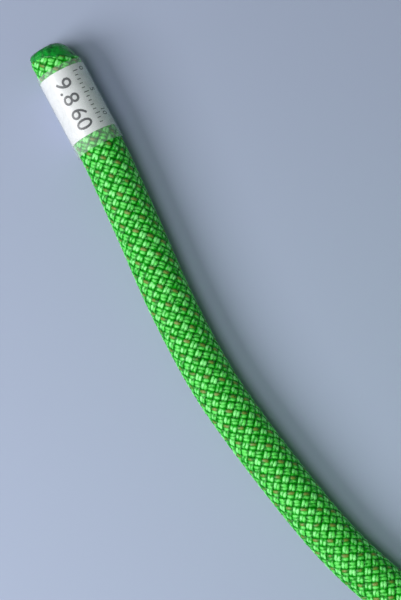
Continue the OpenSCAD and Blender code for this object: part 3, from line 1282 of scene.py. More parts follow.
@dataclass
class Rope:
    """The whole rope: its tube, its core, and its yarns where it isn't coiled."""

    size: RopeSize
    line: RopeLine
    in_melt: float = 1.41 * MM
    braid_turn: float = math.radians(21.7)
    gather: float = math.radians(1.3)
    under_tie: float = math.radians(15)
    tucked: float = math.radians(4)
    fine_length: float = 0.162
    tube_sides: int = 12
    tube_fade: float = 4 * MM
    core_from_coil: tuple[float, float] = (0.0615, 0.053)
    core_ring: int = 9
    core_centre: int = 3
    core_step: float = 1.2 * MM
    core_sides: int = 10

    def __post_init__(self) -> None:
        """Works out the centreline and the yarn maker."""
        self.path = np.concatenate(self.line.parts())
        self.maker = YarnMaker()

    def make_tube(self) -> bpy.types.Object:
        """Builds the tube that follows the whole centreline.

        Returns:
            The piece.
        """
        lead, _, tail = self.line.parts()
        coil, fade, s = self.line.coil, self.tube_fade, lengths_along(self.path)
        start = lengths_along(lead)[-1] + self.under_tie * coil.outer_r(self.size)
        end = s[-1] - lengths_along(tail)[-1] - self.under_tie * coil.inner_r(self.size)
        covered = np.array([
            max(1 - smooth_step((x - start) / fade), smooth_step((x - end + fade) / fade)) for x in s
        ])
        radii = self.size.r + (self.size.under_r - self.size.r) * covered
        mesh = swept_tube("rope_sheath", self.path, radii, self.tube_sides, self.size.braid_pitch)
        mesh.materials.append(BraidFinish("green_braid", GREEN, TRACER, SHADE, self.size.strands).make())
        # The faces under the yarns take the second material, the dark green of painted shade in the gaps.
        mesh.materials.append(ShadedSheath("sheath_in_shade", (0.001, 0.15, 0.006)).make())
        slots = np.repeat((covered[:-1] > 0.5).astype(np.int32), self.tube_sides)
        mesh.polygons.foreach_set("material_index", np.concatenate([slots, [1, 1]]).astype(np.int32))
        log.info("rope_sheath: %.3f m long, %d faces", s[-1], len(mesh.polygons))
        return link("rope_sheath", mesh)

    def braided_lines(self) -> tuple[np.ndarray, np.ndarray]:
        """Lines that the yarns follow from each cut end to just under a turn of the coil.

        Returns:
            The line from the free end and the line from the far end.
        """
        lead, coil, tail = self.line.parts(MM)
        reach = self.under_tie + self.tucked
        total = lengths_along(coil)[-1]
        lead_in = between(coil, 0.0, reach * self.line.coil.outer_r(self.size))
        tail_in = between(coil, total - reach * self.line.coil.inner_r(self.size), total)
        return np.concatenate([lead[:-1], lead_in]), np.concatenate([tail_in[:-1], tail])[::-1]

    def make_yarns(self, tube: bpy.types.Object, ends: list["CutEnd"]) -> None:
        """Builds the sheath's yarns at both ends of the rope and hangs them on the tube.

        Args:
            tube: the rope's tube.
            ends: the free end and the far end.
        """
        lead, tail = self.braided_lines()
        # The S yarns take the green with painted shade and the Z yarns the lit green.
        shaded_and_darker_green = YarnFinish("shaded_and_darker_green_yarn", SHADED_AND_DARKER_GREEN).make()
        plain = {Lay.S: shaded_and_darker_green, Lay.Z: YarnFinish("green_yarn", GREEN).make()}
        accents = {Lay.S: YarnFinish("tracer_yarn", TRACER).make(), Lay.Z: shaded_and_darker_green}
        stretches = (("lead", lead, self.fine_length, ends[0]), ("tail", tail, 0.0, ends[1]))
        for where, line, fine, end in stretches:
            line = extended(line, self.in_melt)
            total = lengths_along(line)[-1]
            for lay in Lay:
                name = f"{where}_yarns_{lay.name.lower()}"
                made = []
                if fine:
                    yarns = self.braided(lay, Grain.FINE, plain[lay], accents[lay])
                    made.append(self.maker.make(name + "_fine", between(line, 0.0, fine), yarns))
                first = fine - fine % self.size.braid_pitch
                rest = between(line, first, total)
                yarns = self.braided(lay, Grain.COARSE, plain[lay], accents[lay])
                made.append(self.maker.make(name, rest, yarns))
                if fine:
                    cut_before(made[-1], rest, fine - first)
                end.seal(made[0])
                for piece in made:
                    piece.parent = tube

    def braided(self, lay: Lay, grain: Grain, yarn: bpy.types.Material,
                accent: bpy.types.Material) -> YarnSet:
        """Half of the sheath's yarns: two to a strand, all running the same way.

        Args:
            lay: which way they run.
            grain: how finely they are modelled.
            yarn: their finish.
            accent: the finish of the second yarn of every other strand.

        Returns:
            What they are like.
        """
        size = self.size
        samples, ring = grain.value
        return YarnSet(
            count=2 * size.strands, crossings=size.strands, lay=lay, gather=self.gather,
            first=self.braid_turn - math.tau / (4 * size.strands), pitch=size.braid_pitch,
            middle_r=size.braid_r, lift=size.yarn_lift, width=size.yarn_w, height=size.yarn_h,
            step=size.braid_pitch / (2 * size.strands * samples), ring=ring, yarn=yarn, accent=accent,
        )

    def make_core(self) -> list[tuple[bpy.types.Object, list[str]]]:
        """Builds the core's strands, nine round three, at both ends of the rope.

        Returns:
            Each piece, with the frame's nodes that it stands for.
        """
        white = YarnFinish("core_yarn", CORE, filaments=5.0, roughness=0.5).make()
        lead, _, tail = self.line.parts(MM)
        lead = between(lead, 0.0, lengths_along(lead)[-1] - self.core_from_coil[0])
        tail = between(tail, self.core_from_coil[1], lengths_along(tail)[-1])
        strands = [f"core_strand_{k}" for k in range(1, self.core_ring + self.core_centre + 1)]
        made = []
        for name, line, nodes in (("core_strands", lead, strands), ("core_strands_far", tail, ["core_tail"])):
            rings = [self.maker.make(f"{name}_{part}", line, laid) for part, laid in self.laid(white).items()]
            made.append((joined(name, rings), nodes))
        return made

    def laid(self, yarn: bpy.types.Material) -> dict[str, YarnSet]:
        """The core's strands, packed inside the sheath.

        Args:
            yarn: their finish.

        Returns:
            What the outer ring and the centre are like.
        """
        size = self.size
        gap, core_r = size.strand_gap, size.r - size.sheath_t
        packed = math.sin(math.pi / self.core_ring)
        strand_r = core_r * packed / (1 + packed) - gap
        centre_r = (strand_r + gap / 2) / math.sin(math.pi / self.core_centre)
        rings = {
            "ring": (self.core_ring, core_r - gap - strand_r, 0.0),
            "centre": (self.core_centre, centre_r, math.tau / (2 * self.core_ring)),
        }
        return {
            part: YarnSet(
                count=count, crossings=0, first=first, lay=Lay.S, pitch=size.core_lay, middle_r=radius,
                lift=0.0, width=2 * strand_r, height=2 * strand_r, step=self.core_step,
                ring=self.core_sides, yarn=yarn, accent=yarn,
            )
            for part, (count, radius, first) in rings.items()
        }


def cut_before(piece: bpy.types.Object, line: np.ndarray, length: float) -> None:
    """Removes the part of some yarns that lies before a length along their line, and closes their ends.

    Args:
        piece: the yarns.
        line: the line that they follow.
        length: where to cut.
    """
    searched, slack = 60 * MM, 0.3 * MM
    at, after = [Vector(p) for p in points_at(line, [length, length + MM])]
    ahead = (after - at).normalized()
    mesh = bmesh.new()
    mesh.from_mesh(piece.data)
    gone = []
    for face in mesh.faces:
        away = face.calc_center_median() - at
        if away.length < searched and away.dot(ahead) < -slack:
            gone.append(face)
    bmesh.ops.delete(mesh, geom=gone, context="FACES")
    bmesh.ops.holes_fill(mesh, edges=[e for e in mesh.edges if e.is_boundary], sides=0)
    mesh.to_mesh(piece.data)
    mesh.free()


# ---------------------------------------------------------------- cut ends


@dataclass(frozen=True)
class EndPlace:
    """A cut end's place: its face's middle, the way out of the rope, and the side that its crown leans to."""

    at: Vector
    out: Vector
    lean: Vector

    @classmethod
    def of(cls, line: np.ndarray) -> "EndPlace":
        """The place at a line's first point, facing level out of the line.

        Args:
            line: the rope's points, from this end on.

        Returns:
            The place.
        """
        out = Vector(line[0] - line[1]).normalized()
        out = Vector((out.x, out.y, 0)).normalized()
        return cls(Vector(line[0]), out, Vector((-out.y, out.x, 0)))

    def point(self, radius: float, angle: float, out: float) -> Vector:
        """A point by its radius, its angle from the leaning side towards the top, and its distance out."""
        round_it = self.lean * math.cos(angle) + Vector((0, 0, 1)) * math.sin(angle)
        return self.at + round_it * radius + self.out * out


def leaning(angle: float) -> float:
    """How far a place round the rope is on the leaning side, from 0 to 1."""
    return (1 + math.cos(angle)) / 2


def ring_noise(angle: float, scale: float, level: float, radius: float = 1.0) -> float:
    """Smooth noise round a circle, which closes on itself.

    Args:
        angle: angle round the circle.
        scale: size of the circle in the noise, for a radius of 1.
        level: height of the circle in the noise.
        radius: the circle's radius.

    Returns:
        The noise, from -1 to 1.
    """
    x, y = math.cos(angle) * radius * scale, math.sin(angle) * radius * scale
    return noise.noise(Vector((x, y, level)))


@dataclass
class CutEnd:
    """A cut end: its melted plug, and the yarns' ends that run into it.

    The two outlines give the plug's surface on the side that it leans to and on the other side, as
    distance out from the cut face and radius, in millimetres, from its skirt to the middle of its top.
    """

    name: str
    place: EndPlace
    wrap: WrapSize
    segments: int = 90
    rows: int = 40
    melt_full: float = 1.7
    melt_low: float = -1.9
    valley_r: float = 4.1
    rim: float = 0.68
    rim_width: float = 0.16
    under_film: float = 4.86 * MM
    melt_reach: float = 1.5 * MM
    rope_reach: float = 40 * MM
    own_r: float = 6 * MM

    FULL_SIDE = np.array([
        (-1.4, 4.86), (-0.5, 4.84), (0.3, 4.8), (1.0, 4.74), (1.6, 4.66), (2.1, 4.58), (2.5, 4.48),
        (2.75, 4.3), (2.88, 4.0), (2.97, 3.5), (3.04, 2.8), (3.12, 1.9), (3.24, 0.9), (3.36, 0.0),
    ])
    LOW_SIDE = np.array([
        (-2.3, 4.62), (-1.5, 4.54), (-0.6, 4.4), (0.2, 4.2), (0.8, 3.98), (1.4, 3.7), (1.9, 3.4), (2.3, 3.1),
        (2.6, 2.8), (2.85, 2.4), (3.05, 2.0), (3.2, 1.5), (3.35, 0.7), (3.4, 0.0),
    ])
    # Waves of the melt's edge: height in millimetres, and the scale and level of their noise.
    EDGE_WAVES = ((0.3, 3, 0.5), (0.25, 9, 2.5))
    # Heights in millimetres of the lumps and of the finer grain on the plug.
    LUMPS, ROUGH = 0.09, 0.08
    # How far the yarns stand proud of the plug, by distance out from the melt's edge.
    PROUD = ((-0.9 * MM, 0.0, 0.5 * MM), (0.12 * MM, 0.06 * MM, -0.2 * MM))

    def melt_edge(self, angle: float) -> float:
        """Where the melt begins.

        Args:
            angle: angle round the rope from the side that the crown leans to.

        Returns:
            Distance out from the cut face, in millimetres.
        """
        edge = self.melt_low + (self.melt_full - self.melt_low) * leaning(angle)
        for height, scale, level in self.EDGE_WAVES:
            edge += height * ring_noise(angle, scale, level)
        return edge

    def make_plug(self, material: bpy.types.Material) -> bpy.types.Object:
        """Builds the melted plug, with an uneven skirt that runs into the valleys between the yarns.

        Args:
            material: its finish.

        Returns:
            The piece.
        """
        n = self.segments
        points: list[Vector] = []
        burn: list[float] = []
        for row in range(self.rows + 1):
            for k in range(n):
                angle = math.tau * k / n
                out, radius, dark = self.plug_at(row / self.rows, angle)
                points.append(self.place.point(radius * MM, angle, out * MM))
                burn.append(dark)
        top = len(points)
        points += [self.place.point(0, 0, self.wrap.tip_h), self.place.point(0, 0, -0.5 * MM)]
        burn += [0.3, 0.0]
        faces = []
        for row in range(self.rows):
            for k in range(n):
                a, b = row * n + k, row * n + (k + 1) % n
                faces.append((a, b, b + n, a + n))
        for k in range(n):
            faces.append((self.rows * n + k, self.rows * n + (k + 1) % n, top))
            faces.append(((k + 1) % n, k, top + 1))
        mesh = mesh_of(self.name + "_plug", points, faces)
        mesh.attributes.new("burn", "FLOAT", "POINT").data.foreach_set("value", burn)
        mesh.materials.append(material)
        face_out(mesh)
        log.info("%s: melted plug, %d faces", self.name, len(mesh.polygons))
        return link(self.name + "_plug", mesh)

    def plug_at(self, share: float, angle: float) -> tuple[float, float, float]:
        """A point of the plug's surface.

        Args:
            share: 0 at the end of the plug's skirt, 1 near the middle of its top.
            angle: angle from the side that it leans to.

        Returns:
            Distance out and radius in millimetres, and how dark its colour is, most in a band round the
            shoulder.
        """
        at = share * (len(self.FULL_SIDE) - 1.2)
        k = min(int(at), len(self.FULL_SIDE) - 2)
        low, full = [side[k] + (side[k + 1] - side[k]) * (at - k) for side in (self.LOW_SIDE, self.FULL_SIDE)]
        out, radius = low + (full - low) * leaning(angle)
        lump = ring_noise(angle, 1.9, out * 0.8 + 3)
        fine = ring_noise(angle, 1.3, out * 2.2, radius)
        cover = smooth_step((out - self.melt_edge(angle) + 0.3) / 0.5)
        radius += self.LUMPS * lump + self.ROUGH * fine
        radius = min(radius, self.valley_r) + max(radius - self.valley_r, 0.0) * cover
        # The colour darkens in a band round the plug's shoulder, more on its lumps.
        rim = math.exp(-(((share - self.rim) / self.rim_width) ** 2))
        return out + 0.12 * fine * share, radius, min(1.0, max(0.0, 0.1 + 0.8 * rim * (0.7 + 0.8 * lump)))

    def seal(self, yarns: bpy.types.Object) -> None:
        """Melts the yarns' ends into the plug, and presses the yarns flat under the film.

        Args:
            yarns: a piece of yarns that starts at this end.
        """
        mesh = yarns.data
        flat = np.empty(len(mesh.vertices) * 3)
        mesh.vertices.foreach_get("co", flat)
        points = flat.reshape(-1, 3)
        away = points - np.array(self.place.at)
        out = away @ np.array(self.place.out)
        lean, up = away @ np.array(self.place.lean), away[:, 2]
        radius, angle = np.hypot(lean, up), np.arctan2(up, lean)
        low, full = [np.interp(out / MM, side[:, 0], side[:, 1]) for side in (self.LOW_SIDE, self.FULL_SIDE)]
        surface = (low + (full - low) * ((1 + np.cos(angle)) / 2)) * MM
        edge = np.interp(angle, *self.edge_table()) * MM
        limit = np.where(out > -self.melt_reach, surface + np.interp(out - edge, *self.PROUD), np.inf)
        film_end = self.wrap.tip_h - self.wrap.film_start
        wrapped = (out < film_end) & (out > film_end - self.wrap.film_l)
        limit = np.where(wrapped, self.under_film, limit)
        near = (out > -self.rope_reach) & (radius < self.own_r) & (radius > limit)
        share = np.where(near, limit / np.maximum(radius, 1e-9), 1.0)[:, None]
        axis = np.array(self.place.at) + out[:, None] * np.array(self.place.out)
        mesh.vertices.foreach_set("co", (axis + (points - axis) * share).reshape(-1))
        mesh.update()

    def edge_table(self) -> tuple[np.ndarray, np.ndarray]:
        """The melt's edge at evenly spaced angles from minus to plus half a turn."""
        angles = np.linspace(-math.pi, math.pi, 181)
        return angles, np.array([self.melt_edge(a) for a in angles])


def face_out(mesh: bpy.types.Mesh, merge: bool = True) -> None:
    """Points the faces of a closed mesh outwards.

    Args:
        mesh: the mesh.
        merge: whether to merge its doubles first.
    """
    made = bmesh.new()
    made.from_mesh(mesh)
    if merge:
        bmesh.ops.remove_doubles(made, verts=made.verts, dist=1e-7)
    bmesh.ops.recalc_face_normals(made, faces=made.faces)
    made.to_mesh(mesh)
    made.free()


@dataclass(frozen=True)
class PrintedWords:
    """One line of type: its height, where it starts along the band, and its middle's angle from the top."""

    words: str
    size: float
    along: float
    angle: float


@dataclass
class BandPrint:
    """Plain numerals and a millimetre scale, printed on a band along the rope."""

    name: str
    place: EndPlace
    wrap: WrapSize
    low: float = 5.055 * MM
    thick: float = 0.02 * MM
    bolder: float = 0.004
    slice_h: float = 0.35 * MM
    top: float = math.radians(90)
    tick_start: float = 1.4 * MM
    tick_angle: float = math.radians(29)
    tick_w: float = 0.19 * MM
    tick_l: float = 0.8 * MM
    scale_l: int = 12

    def words(self) -> list[PrintedWords]:
        """What is printed: the rope's diameter in mm and its length in m, and the scale's numbers.

        Returns:
            The large line of type, then the small numbers.
        """
        large = PrintedWords("9.8 60", 4.9 * MM, 1.9 * MM, -math.radians(6))
        small = [PrintedWords(str(n), 1.9 * MM, (0.85 + n) * MM, math.radians(57)) for n in (0, 5, 10)]
        return [large] + small

    def numerals(self, words: PrintedWords) -> bpy.types.Mesh:
        """Flat numerals wrapped on the band.

        Args:
            words: what to print, and where.

        Returns:
            The mesh.
        """
        curve = bpy.data.curves.new(self.name + words.words, "FONT")
        curve.body = words.words
        curve.size = words.size
        curve.offset = self.bolder * words.size
        curve.extrude = self.thick / 2
        curve.resolution_u = 4
        curve.space_word = 0.7
        holder = link(self.name + words.words, curve)
        graph = bpy.context.evaluated_depsgraph_get()
        mesh = bpy.data.meshes.new_from_object(holder.evaluated_get(graph), depsgraph=graph)
        bpy.data.objects.remove(holder)
        bpy.data.curves.remove(curve)
        made = bmesh.new()
        made.from_mesh(mesh)
        bmesh.ops.remove_doubles(made, verts=made.verts, dist=1e-8)
        low, high = min(v.co.y for v in made.verts), max(v.co.y for v in made.verts)
        steps = max(2, round((high - low) / self.slice_h))
        for k in range(1, steps):
            y = low + (high - low) * k / steps
            parts = made.verts[:] + made.edges[:] + made.faces[:]
            bmesh.ops.bisect_plane(made, geom=parts, plane_co=(0, y, 0), plane_no=(0, 1, 0))
        left = min(v.co.x for v in made.verts)
        for v in made.verts:
            along = words.along + v.co.x - left
            v.co = self.on_band(along, v.co.y - (low + high) / 2, v.co.z, self.top + words.angle)
        made.to_mesh(mesh)
        made.free()
        return mesh

    def on_band(self, along: float, across: float, height: float, angle: float) -> Vector:
        """Wraps a flat point on the band.

        Args:
            along: distance along the band from its outer edge.
            across: distance round the band from the print's middle.
            height: height over the print's middle layer.
            angle: angle of the print's middle round the rope.

        Returns:
            The point.
        """
        radius = self.low + self.thick / 2 + height
        start = self.wrap.tip_h - self.wrap.band_start
        return self.place.point(radius, angle + across / self.low, start - along)

    def ticks(self) -> bpy.types.Mesh:
        """Builds the scale's lines, one each millimetre, with geometry nodes, and wraps them on the band.

        Returns:
            The mesh.
        """
        tree = MeshTree("scale_lines", {
            "Count": "Int", "Gap": "Float", "Line width": "Float", "Line length": "Float", "Ink": "Float",
            "Material": "Material",
        })
        nodes, given = tree.nodes, tree.given
        inputs = {"Count": given["Count"], "Offset": nodes.join(given["Gap"])}
        line = nodes.out("GeometryNodeMeshLine", inputs)
        size = nodes.join(given["Line width"], given["Line length"], given["Ink"])
        bar = nodes.out("GeometryNodeMeshCube", {"Size": size, "Vertices Y": 7})
        aside = nodes.join(0.0, nodes.times(given["Line length"], 0.5))
        bar = nodes.out("GeometryNodeTransform", {"Geometry": bar, "Translation": aside})
        fifth = nodes.math("LESS_THAN", nodes.remainder(nodes.out("GeometryNodeInputIndex"), 5.0), 0.5)
        longer = nodes.join(1.0, nodes.scaled(fifth, 0.5, 1.0), 1.0)
        inputs = {"Points": line, "Instance": bar, "Scale": longer}
        tree.end(tree.dressed(nodes.out("GeometryNodeInstanceOnPoints", inputs), "Material", smooth=False))
        name = self.name + "_scale"
        made = tree.run(name, link(name, bpy.data.meshes.new(name)), {
            "Count": self.scale_l + 1, "Gap": MM, "Line width": self.tick_w, "Line length": self.tick_l,
            "Ink": self.thick,
        })
        mesh = made.data
        bpy.data.objects.remove(made)
        mesh.materials.clear()
        for v in mesh.vertices:
            v.co = self.on_band(self.tick_start + v.co.x, v.co.y, v.co.z, self.top + self.tick_angle)
        return mesh

    def make(self, material: bpy.types.Material) -> bpy.types.Object:
        """Builds the whole print as one piece.

        Args:
            material: the ink.

        Returns:
            The piece.
        """
        large, *small = self.words()
        meshes = [self.numerals(large), self.ticks()]
        meshes += [self.numerals(words) for words in small]
        whole = bmesh.new()
        for mesh in meshes:
            whole.from_mesh(mesh)
            bpy.data.meshes.remove(mesh)
        mesh = bpy.data.meshes.new(self.name + "_print")
        whole.to_mesh(mesh)
        whole.free()
        face_out(mesh)
        mesh.materials.append(material)
        log.info("%s: print, %d faces", self.name, len(mesh.polygons))
        return link(self.name + "_print", mesh)


# ---------------------------------------------------------------- ties


@dataclass
class CoilTie:
    """A hook-and-loop tie round the coil: a band of webbing with a sewn lap on its outer side."""

    name: str
    angle: float
    tie: TieSize
    rope: RopeSize
    coil: CoilSize
    edge_r: float = 0.5 * MM
    edge_steps: int = 3
    corner_steps: int = 8
    side_step: float = 6 * MM
    lap_rows: int = 34
    lap_inset: float = 0.35 * MM
    lap_corner: float = 6 * MM
    lap_tip: float = 0.3 * MM
    lap_rise: float = 5 * MM
    lap_sink: float = 0.1 * MM
    lap_wave: float = 0.12 * MM
    stitch_inset: float = 2.4 * MM
    stitched: tuple[float, float] = (7 * MM, 21 * MM)
    stitch_sink: float = 0.05 * MM
    stitch_pitch: float = 2.0 * MM
    stitch_l: float = 1.7 * MM
    thread_d: float = 0.45 * MM

    @property
    def lap_top(self) -> float:
        """Height of the lap's sewn end; the lap's middle is at the middle of the coil's side."""
        return (self.coil.top_z(self.rope) + self.rope.r) / 2 + self.tie.lap_l / 2

    def corner_box(self, grow: float) -> tuple[float, float, float, float]:
        """The coil's section as the tie wraps it.

        Args:
            grow: how far to grow it on each side.

        Returns:
            Its inner and outer radius and its low and high height.
        """
        inner = self.coil.inner_r(self.rope) - self.rope.r + self.tie.bite - grow
        outer = self.coil.outer_r(self.rope) + self.rope.r - self.tie.bite + grow
        high = self.coil.top_z(self.rope) + self.rope.r - self.tie.bite + grow
        return inner, outer, self.tie.bite - grow, high

    def outer_face(self) -> float:
        """Distance from the coil's axis to the band's outer face."""
        return self.corner_box(self.tie.gap + self.tie.t)[1]

    def loop(self, grow: float) -> np.ndarray:
        """Points round the wrapped section, counter-clockwise from its outer upper corner.

        Args:
            grow: how far outside the section they lie.

        Returns:
            Each point's radius from the coil's axis and its height.
        """
        inner, outer, low, high = self.corner_box(grow)
        r = self.rope.r + grow
        corners = ((outer - r, high - r), (inner + r, high - r), (inner + r, low + r), (outer - r, low + r))
        points = rounded(corners, r, 0, self.corner_steps)
        out = []
        for a, b in zip(points, points[1:] + points[:1]):
            count = max(1, round(math.dist(a, b) / self.side_step))
            for k in range(count):
                out.append((a[0] + (b[0] - a[0]) * k / count, a[1] + (b[1] - a[1]) * k / count))
        return np.array(out)

    def to_world(self, rho: float, across: float, z: float) -> tuple[float, float, float]:
        """Point from its place in the tie's own upright plane."""
        c, s = math.cos(self.angle), math.sin(self.angle)
        return (rho * c - across * s, rho * s + across * c, z)

    def section(self, width: float, thick: float) -> list[tuple[float, float]]:
        """Section of the webbing, with rounded edges.

        Args:
            width: its width.
            thick: its thickness.

        Returns:
            Its points, as (across, outwards) from the middle of its inner face.
        """
        r, half = min(self.edge_r, thick / 2), width / 2
        corners = ((half - r, r), (half - r, thick - r), (-half + r, thick - r), (-half + r, r))
        return rounded(corners, r, -90, self.edge_steps)

    def make_band(self, material: bpy.types.Material) -> bpy.types.Object:
        """Builds the closed band.

        Args:
            material: its finish.

        Returns:
            The piece.
        """
        line = self.loop(self.tie.gap)
        ahead = np.roll(line, -1, axis=0) - np.roll(line, 1, axis=0)
        ahead /= np.linalg.norm(ahead, axis=1)[:, None]
        normal = np.stack([ahead[:, 1], -ahead[:, 0]], axis=1)
        ring = self.section(self.tie.w, self.tie.t)
        points = []
        for at, out in zip(line, normal):
            for across, up in ring:
                x, z = at + out * up
                points.append(self.to_world(x, across, z))
        s = lengths_along(np.vstack([line, line[:1]]))
        faces, uvs = ribbon(ring, s, closed=True)
        return self.finish_piece(self.name, points, faces, uvs, material)

    def make_lap(self, material: bpy.types.Material) -> bpy.types.Object:
        """Builds the lap: the free end of the webbing pressed on the band's outer side, with a rounded tip.

        Args:
            material: its finish.

        Returns:
            The piece.
        """
        outer, corner = self.outer_face(), self.lap_corner
        points, s_at = [], []
        for k in range(self.lap_rows + 1):
            share = k / self.lap_rows
            s = share * self.tie.lap_l
            from_tip = self.tie.lap_l - s
            half = self.tie.w / 2 - self.lap_inset
            if from_tip < corner:
                half = half - corner + math.sqrt(max(corner ** 2 - (corner - from_tip) ** 2, 0.0))
            half = max(half, self.lap_tip)
            lift = self.lap_wave * math.sin(share * 9)
            thick = self.tie.lap_t * (0.3 + 0.7 * smooth_step(s / self.lap_rise))
            for across, up in self.section(2 * half, thick):
                rho = outer - self.lap_sink + up + lift * 0.3 * (up > 0)
                points.append(self.to_world(rho, across, self.lap_top - s))
            s_at.append(s)
        ring = self.section(self.tie.w, self.tie.lap_t)
        faces, uvs = ribbon(ring, s_at, closed=False)
        for row in (0, self.lap_rows):
            faces.append(tuple(row * len(ring) + i for i in range(len(ring))))
            uvs += [(across, s_at[row]) for across, _ in ring]
        return self.finish_piece(self.name + "_lap", points, faces, uvs, material)

    def finish_piece(self, name: str, points: list, faces: list, uvs: list,
                     material: bpy.types.Material) -> bpy.types.Object:
        """Makes the object of a strap.

        Args:
            name: its name.
            points: its points.
            faces: its faces.
            uvs: a UV pair for each corner of each face.
            material: its finish.

        Returns:
            The piece.
        """
        mesh = mesh_of(name, points, faces)
        layer = mesh.uv_layers.new(name="strap")
        layer.data.foreach_set("uv", np.array(uvs, np.float32).reshape(-1))
        face_out(mesh, merge=False)
        mesh.materials.append(material)
        log.info("%s: %d faces", name, len(mesh.polygons))
        return link(name, mesh)

    def stitch_rows(self) -> list[list[tuple[float, float, float]]]:
        """Lines that the stitches follow: a box with a cross, at the sewn end of the lap.

        Returns:
            The two ends of each line.
        """
        outer = self.outer_face() + self.tie.lap_t - self.stitch_sink
        w = self.tie.w / 2 - self.stitch_inset
        a, b = self.stitched
        box = [[(-w, a), (w, a)], [(w, a), (w, b)], [(w, b), (-w, b)], [(-w, b), (-w, a)]]
        cross = [[(-w, a), (w, b)], [(w, a), (-w, b)]]
        return [[self.to_world(outer, x, self.lap_top - s) for x, s in row] for row in box + cross]

    def make_stitches(self, material: bpy.types.Material) -> bpy.types.Object:
        """Sews the lap down, with one capsule of thread for each stitch, placed by geometry nodes.

        Args:
            material: the thread's finish.

        Returns:
            The piece.
        """
        tree = MeshTree("stitches", {
            "Stitch pitch": "Float", "Stitch length": "Float", "Thread": "Float", "Face": "Vector",
            "Material": "Material",
        })
        nodes, given = tree.nodes, tree.given
        curve = nodes.out("GeometryNodeMeshToCurve", {0: given["Geometry"]})
        inputs = {"Curve": curve, "Length": given["Stitch pitch"]}
        at = nodes.add("GeometryNodeCurveToPoints", inputs, mode="LENGTH").outputs
        inputs = {"Primary Axis": at["Tangent"], "Secondary Axis": given["Face"]}
        turn = nodes.out("FunctionNodeAxesToRotation", inputs, primary_axis="X", secondary_axis="Z")
        thread = nodes.out("GeometryNodeMeshUVSphere", {"Segments": 6, "Rings": 5, "Radius": 0.5})
        size = nodes.join(given["Stitch length"], given["Thread"], given["Thread"])
        thread = nodes.out("GeometryNodeTransform", {"Geometry": thread, "Scale": size})
        inputs = {"Points": at["Points"], "Instance": thread, "Rotation": turn}
        tree.end(tree.dressed(nodes.out("GeometryNodeInstanceOnPoints", inputs), "Material"))
        rows = self.stitch_rows()
        ends = [(2 * k, 2 * k + 1) for k in range(len(rows))]
        mesh = lines_mesh(self.name + "_rows", [p for row in rows for p in row], ends)
        return tree.run(self.name + "_stitches", link(self.name + "_rows", mesh), {
            "Stitch pitch": self.stitch_pitch, "Stitch length": self.stitch_l, "Thread": self.thread_d,
            "Face": self.to_world(1.0, 0.0, 0.0), "Material": material,
        })


def rounded(corners: Iterable, r: float, first: float, steps: int) -> list[tuple[float, float]]:
    """Outline of a box with rounded corners.

    Args:
        corners: the middles of its four corners' arcs, counter-clockwise.
        r: the arcs' radius.
        first: direction in degrees from the first arc's middle to its first point.
        steps: steps in each arc.

    Returns:
        The outline's points.
    """
    points = []
    for number, (x, y) in enumerate(corners):
        for k in range(steps + 1):
            a = math.radians(first + 90 * number + 90 * k / steps)
            points.append((x + r * math.cos(a), y + r * math.sin(a)))
    return points


def ribbon(ring: list, lengths: Iterable, closed: bool) -> tuple[list, list]:
    """Faces and UVs of a strap made of rings of points.

    Args:
        ring: one ring, as (across, outwards).
        lengths: length along the strap at each ring, and for a closed strap once more at its end.
        closed: whether the last ring joins the first.

    Returns:
        The faces, and a UV pair for each of their corners.
    """
    n, rows = len(ring), len(lengths) - 1
    faces, uvs = [], []
    for k in range(rows):
        m = (k + 1) % rows if closed else k + 1
        for i in range(n):
            j = (i + 1) % n
            faces.append((k * n + i, m * n + i, m * n + j, k * n + j))
            near, far = lengths[k], lengths[k + 1]
            uvs += [(ring[i][0], near), (ring[i][0], far), (ring[j][0], far), (ring[j][0], near)]
    return faces, uvs


# ---------------------------------------------------------------- the studio


@dataclass(frozen=True)
class Lamp:
    """A square area lamp."""

    name: str
    at: tuple[float, float, float]
    energy: float
    size: float
    colour: Colour


@dataclass
class Studio:
    """Camera, floor and lights. The camera stands over the free end and looks down at it."""

    look_at: tuple[float, float, float] = (-0.172, -0.0192, 0.0049)
    stand_at: tuple[float, float, float] = (-0.14389, -0.04516, 0.5)
    turned: tuple[float, float, float] = (0.05731, 0.05714, 0.03071)
    lens: float = 143.78
    sensor: float = 36.0
    floor_half: float = 4.0
    surroundings: Colour = (0.124, 0.129, 0.144)

    LAMPS = (
        Lamp("key", (-1.07, -0.5, 0.85), 15.4, 0.8, (1.0, 0.99, 0.98)),
        Lamp("overhead", (-0.31, -0.18, 0.88), 2.2, 0.3, (0.97, 0.98, 1.0)),
        Lamp("back", (1.2, 0.35, 0.5), 9.0, 0.6, (0.97, 0.98, 1.0)),
    )

    def make_camera(self) -> None:
        """Puts the camera over the free end."""
        data = bpy.data.cameras.new("camera")
        data.lens, data.sensor_width = self.lens, self.sensor
        camera = link("camera", data)
        camera.location = self.stand_at
        camera.rotation_euler = self.turned
        bpy.context.scene.camera = camera
        log.info("camera for a picture of %d by %d", IMAGE_W, IMAGE_H)

    def make_floor(self) -> None:
        """Lays the floor."""
        half = self.floor_half
        corners = [(-half, -half, 0), (half, -half, 0), (half, half, 0), (-half, half, 0)]
        mesh = mesh_of("floor", corners, [(0, 1, 2, 3)], smooth=False)
        mesh.materials.append(FloorFinish().make())
        link("floor", mesh)

    def light(self) -> None:
        """Adds the lamps, which look at the free end, and the even light from all round."""
        for lamp in self.LAMPS:
            data = bpy.data.lights.new(lamp.name, "AREA")
            data.energy, data.size, data.color = lamp.energy, lamp.size, lamp.colour
            placed = link(lamp.name, data)
            placed.location = lamp.at
            ahead = Vector(self.look_at) - Vector(lamp.at)
            placed.rotation_euler = ahead.to_track_quat("-Z", "Y").to_euler()
        world = bpy.data.worlds.new("world")
        bpy.context.scene.world = world
        world.use_nodes = True
        world.node_tree.nodes["Background"].inputs[0].default_value = rgba(self.surroundings)
        bpy.context.scene.view_settings.view_transform = "Standard"
        log.info("studio: %d lamps", len(self.LAMPS))


# ---------------------------------------------------------------- putting it together


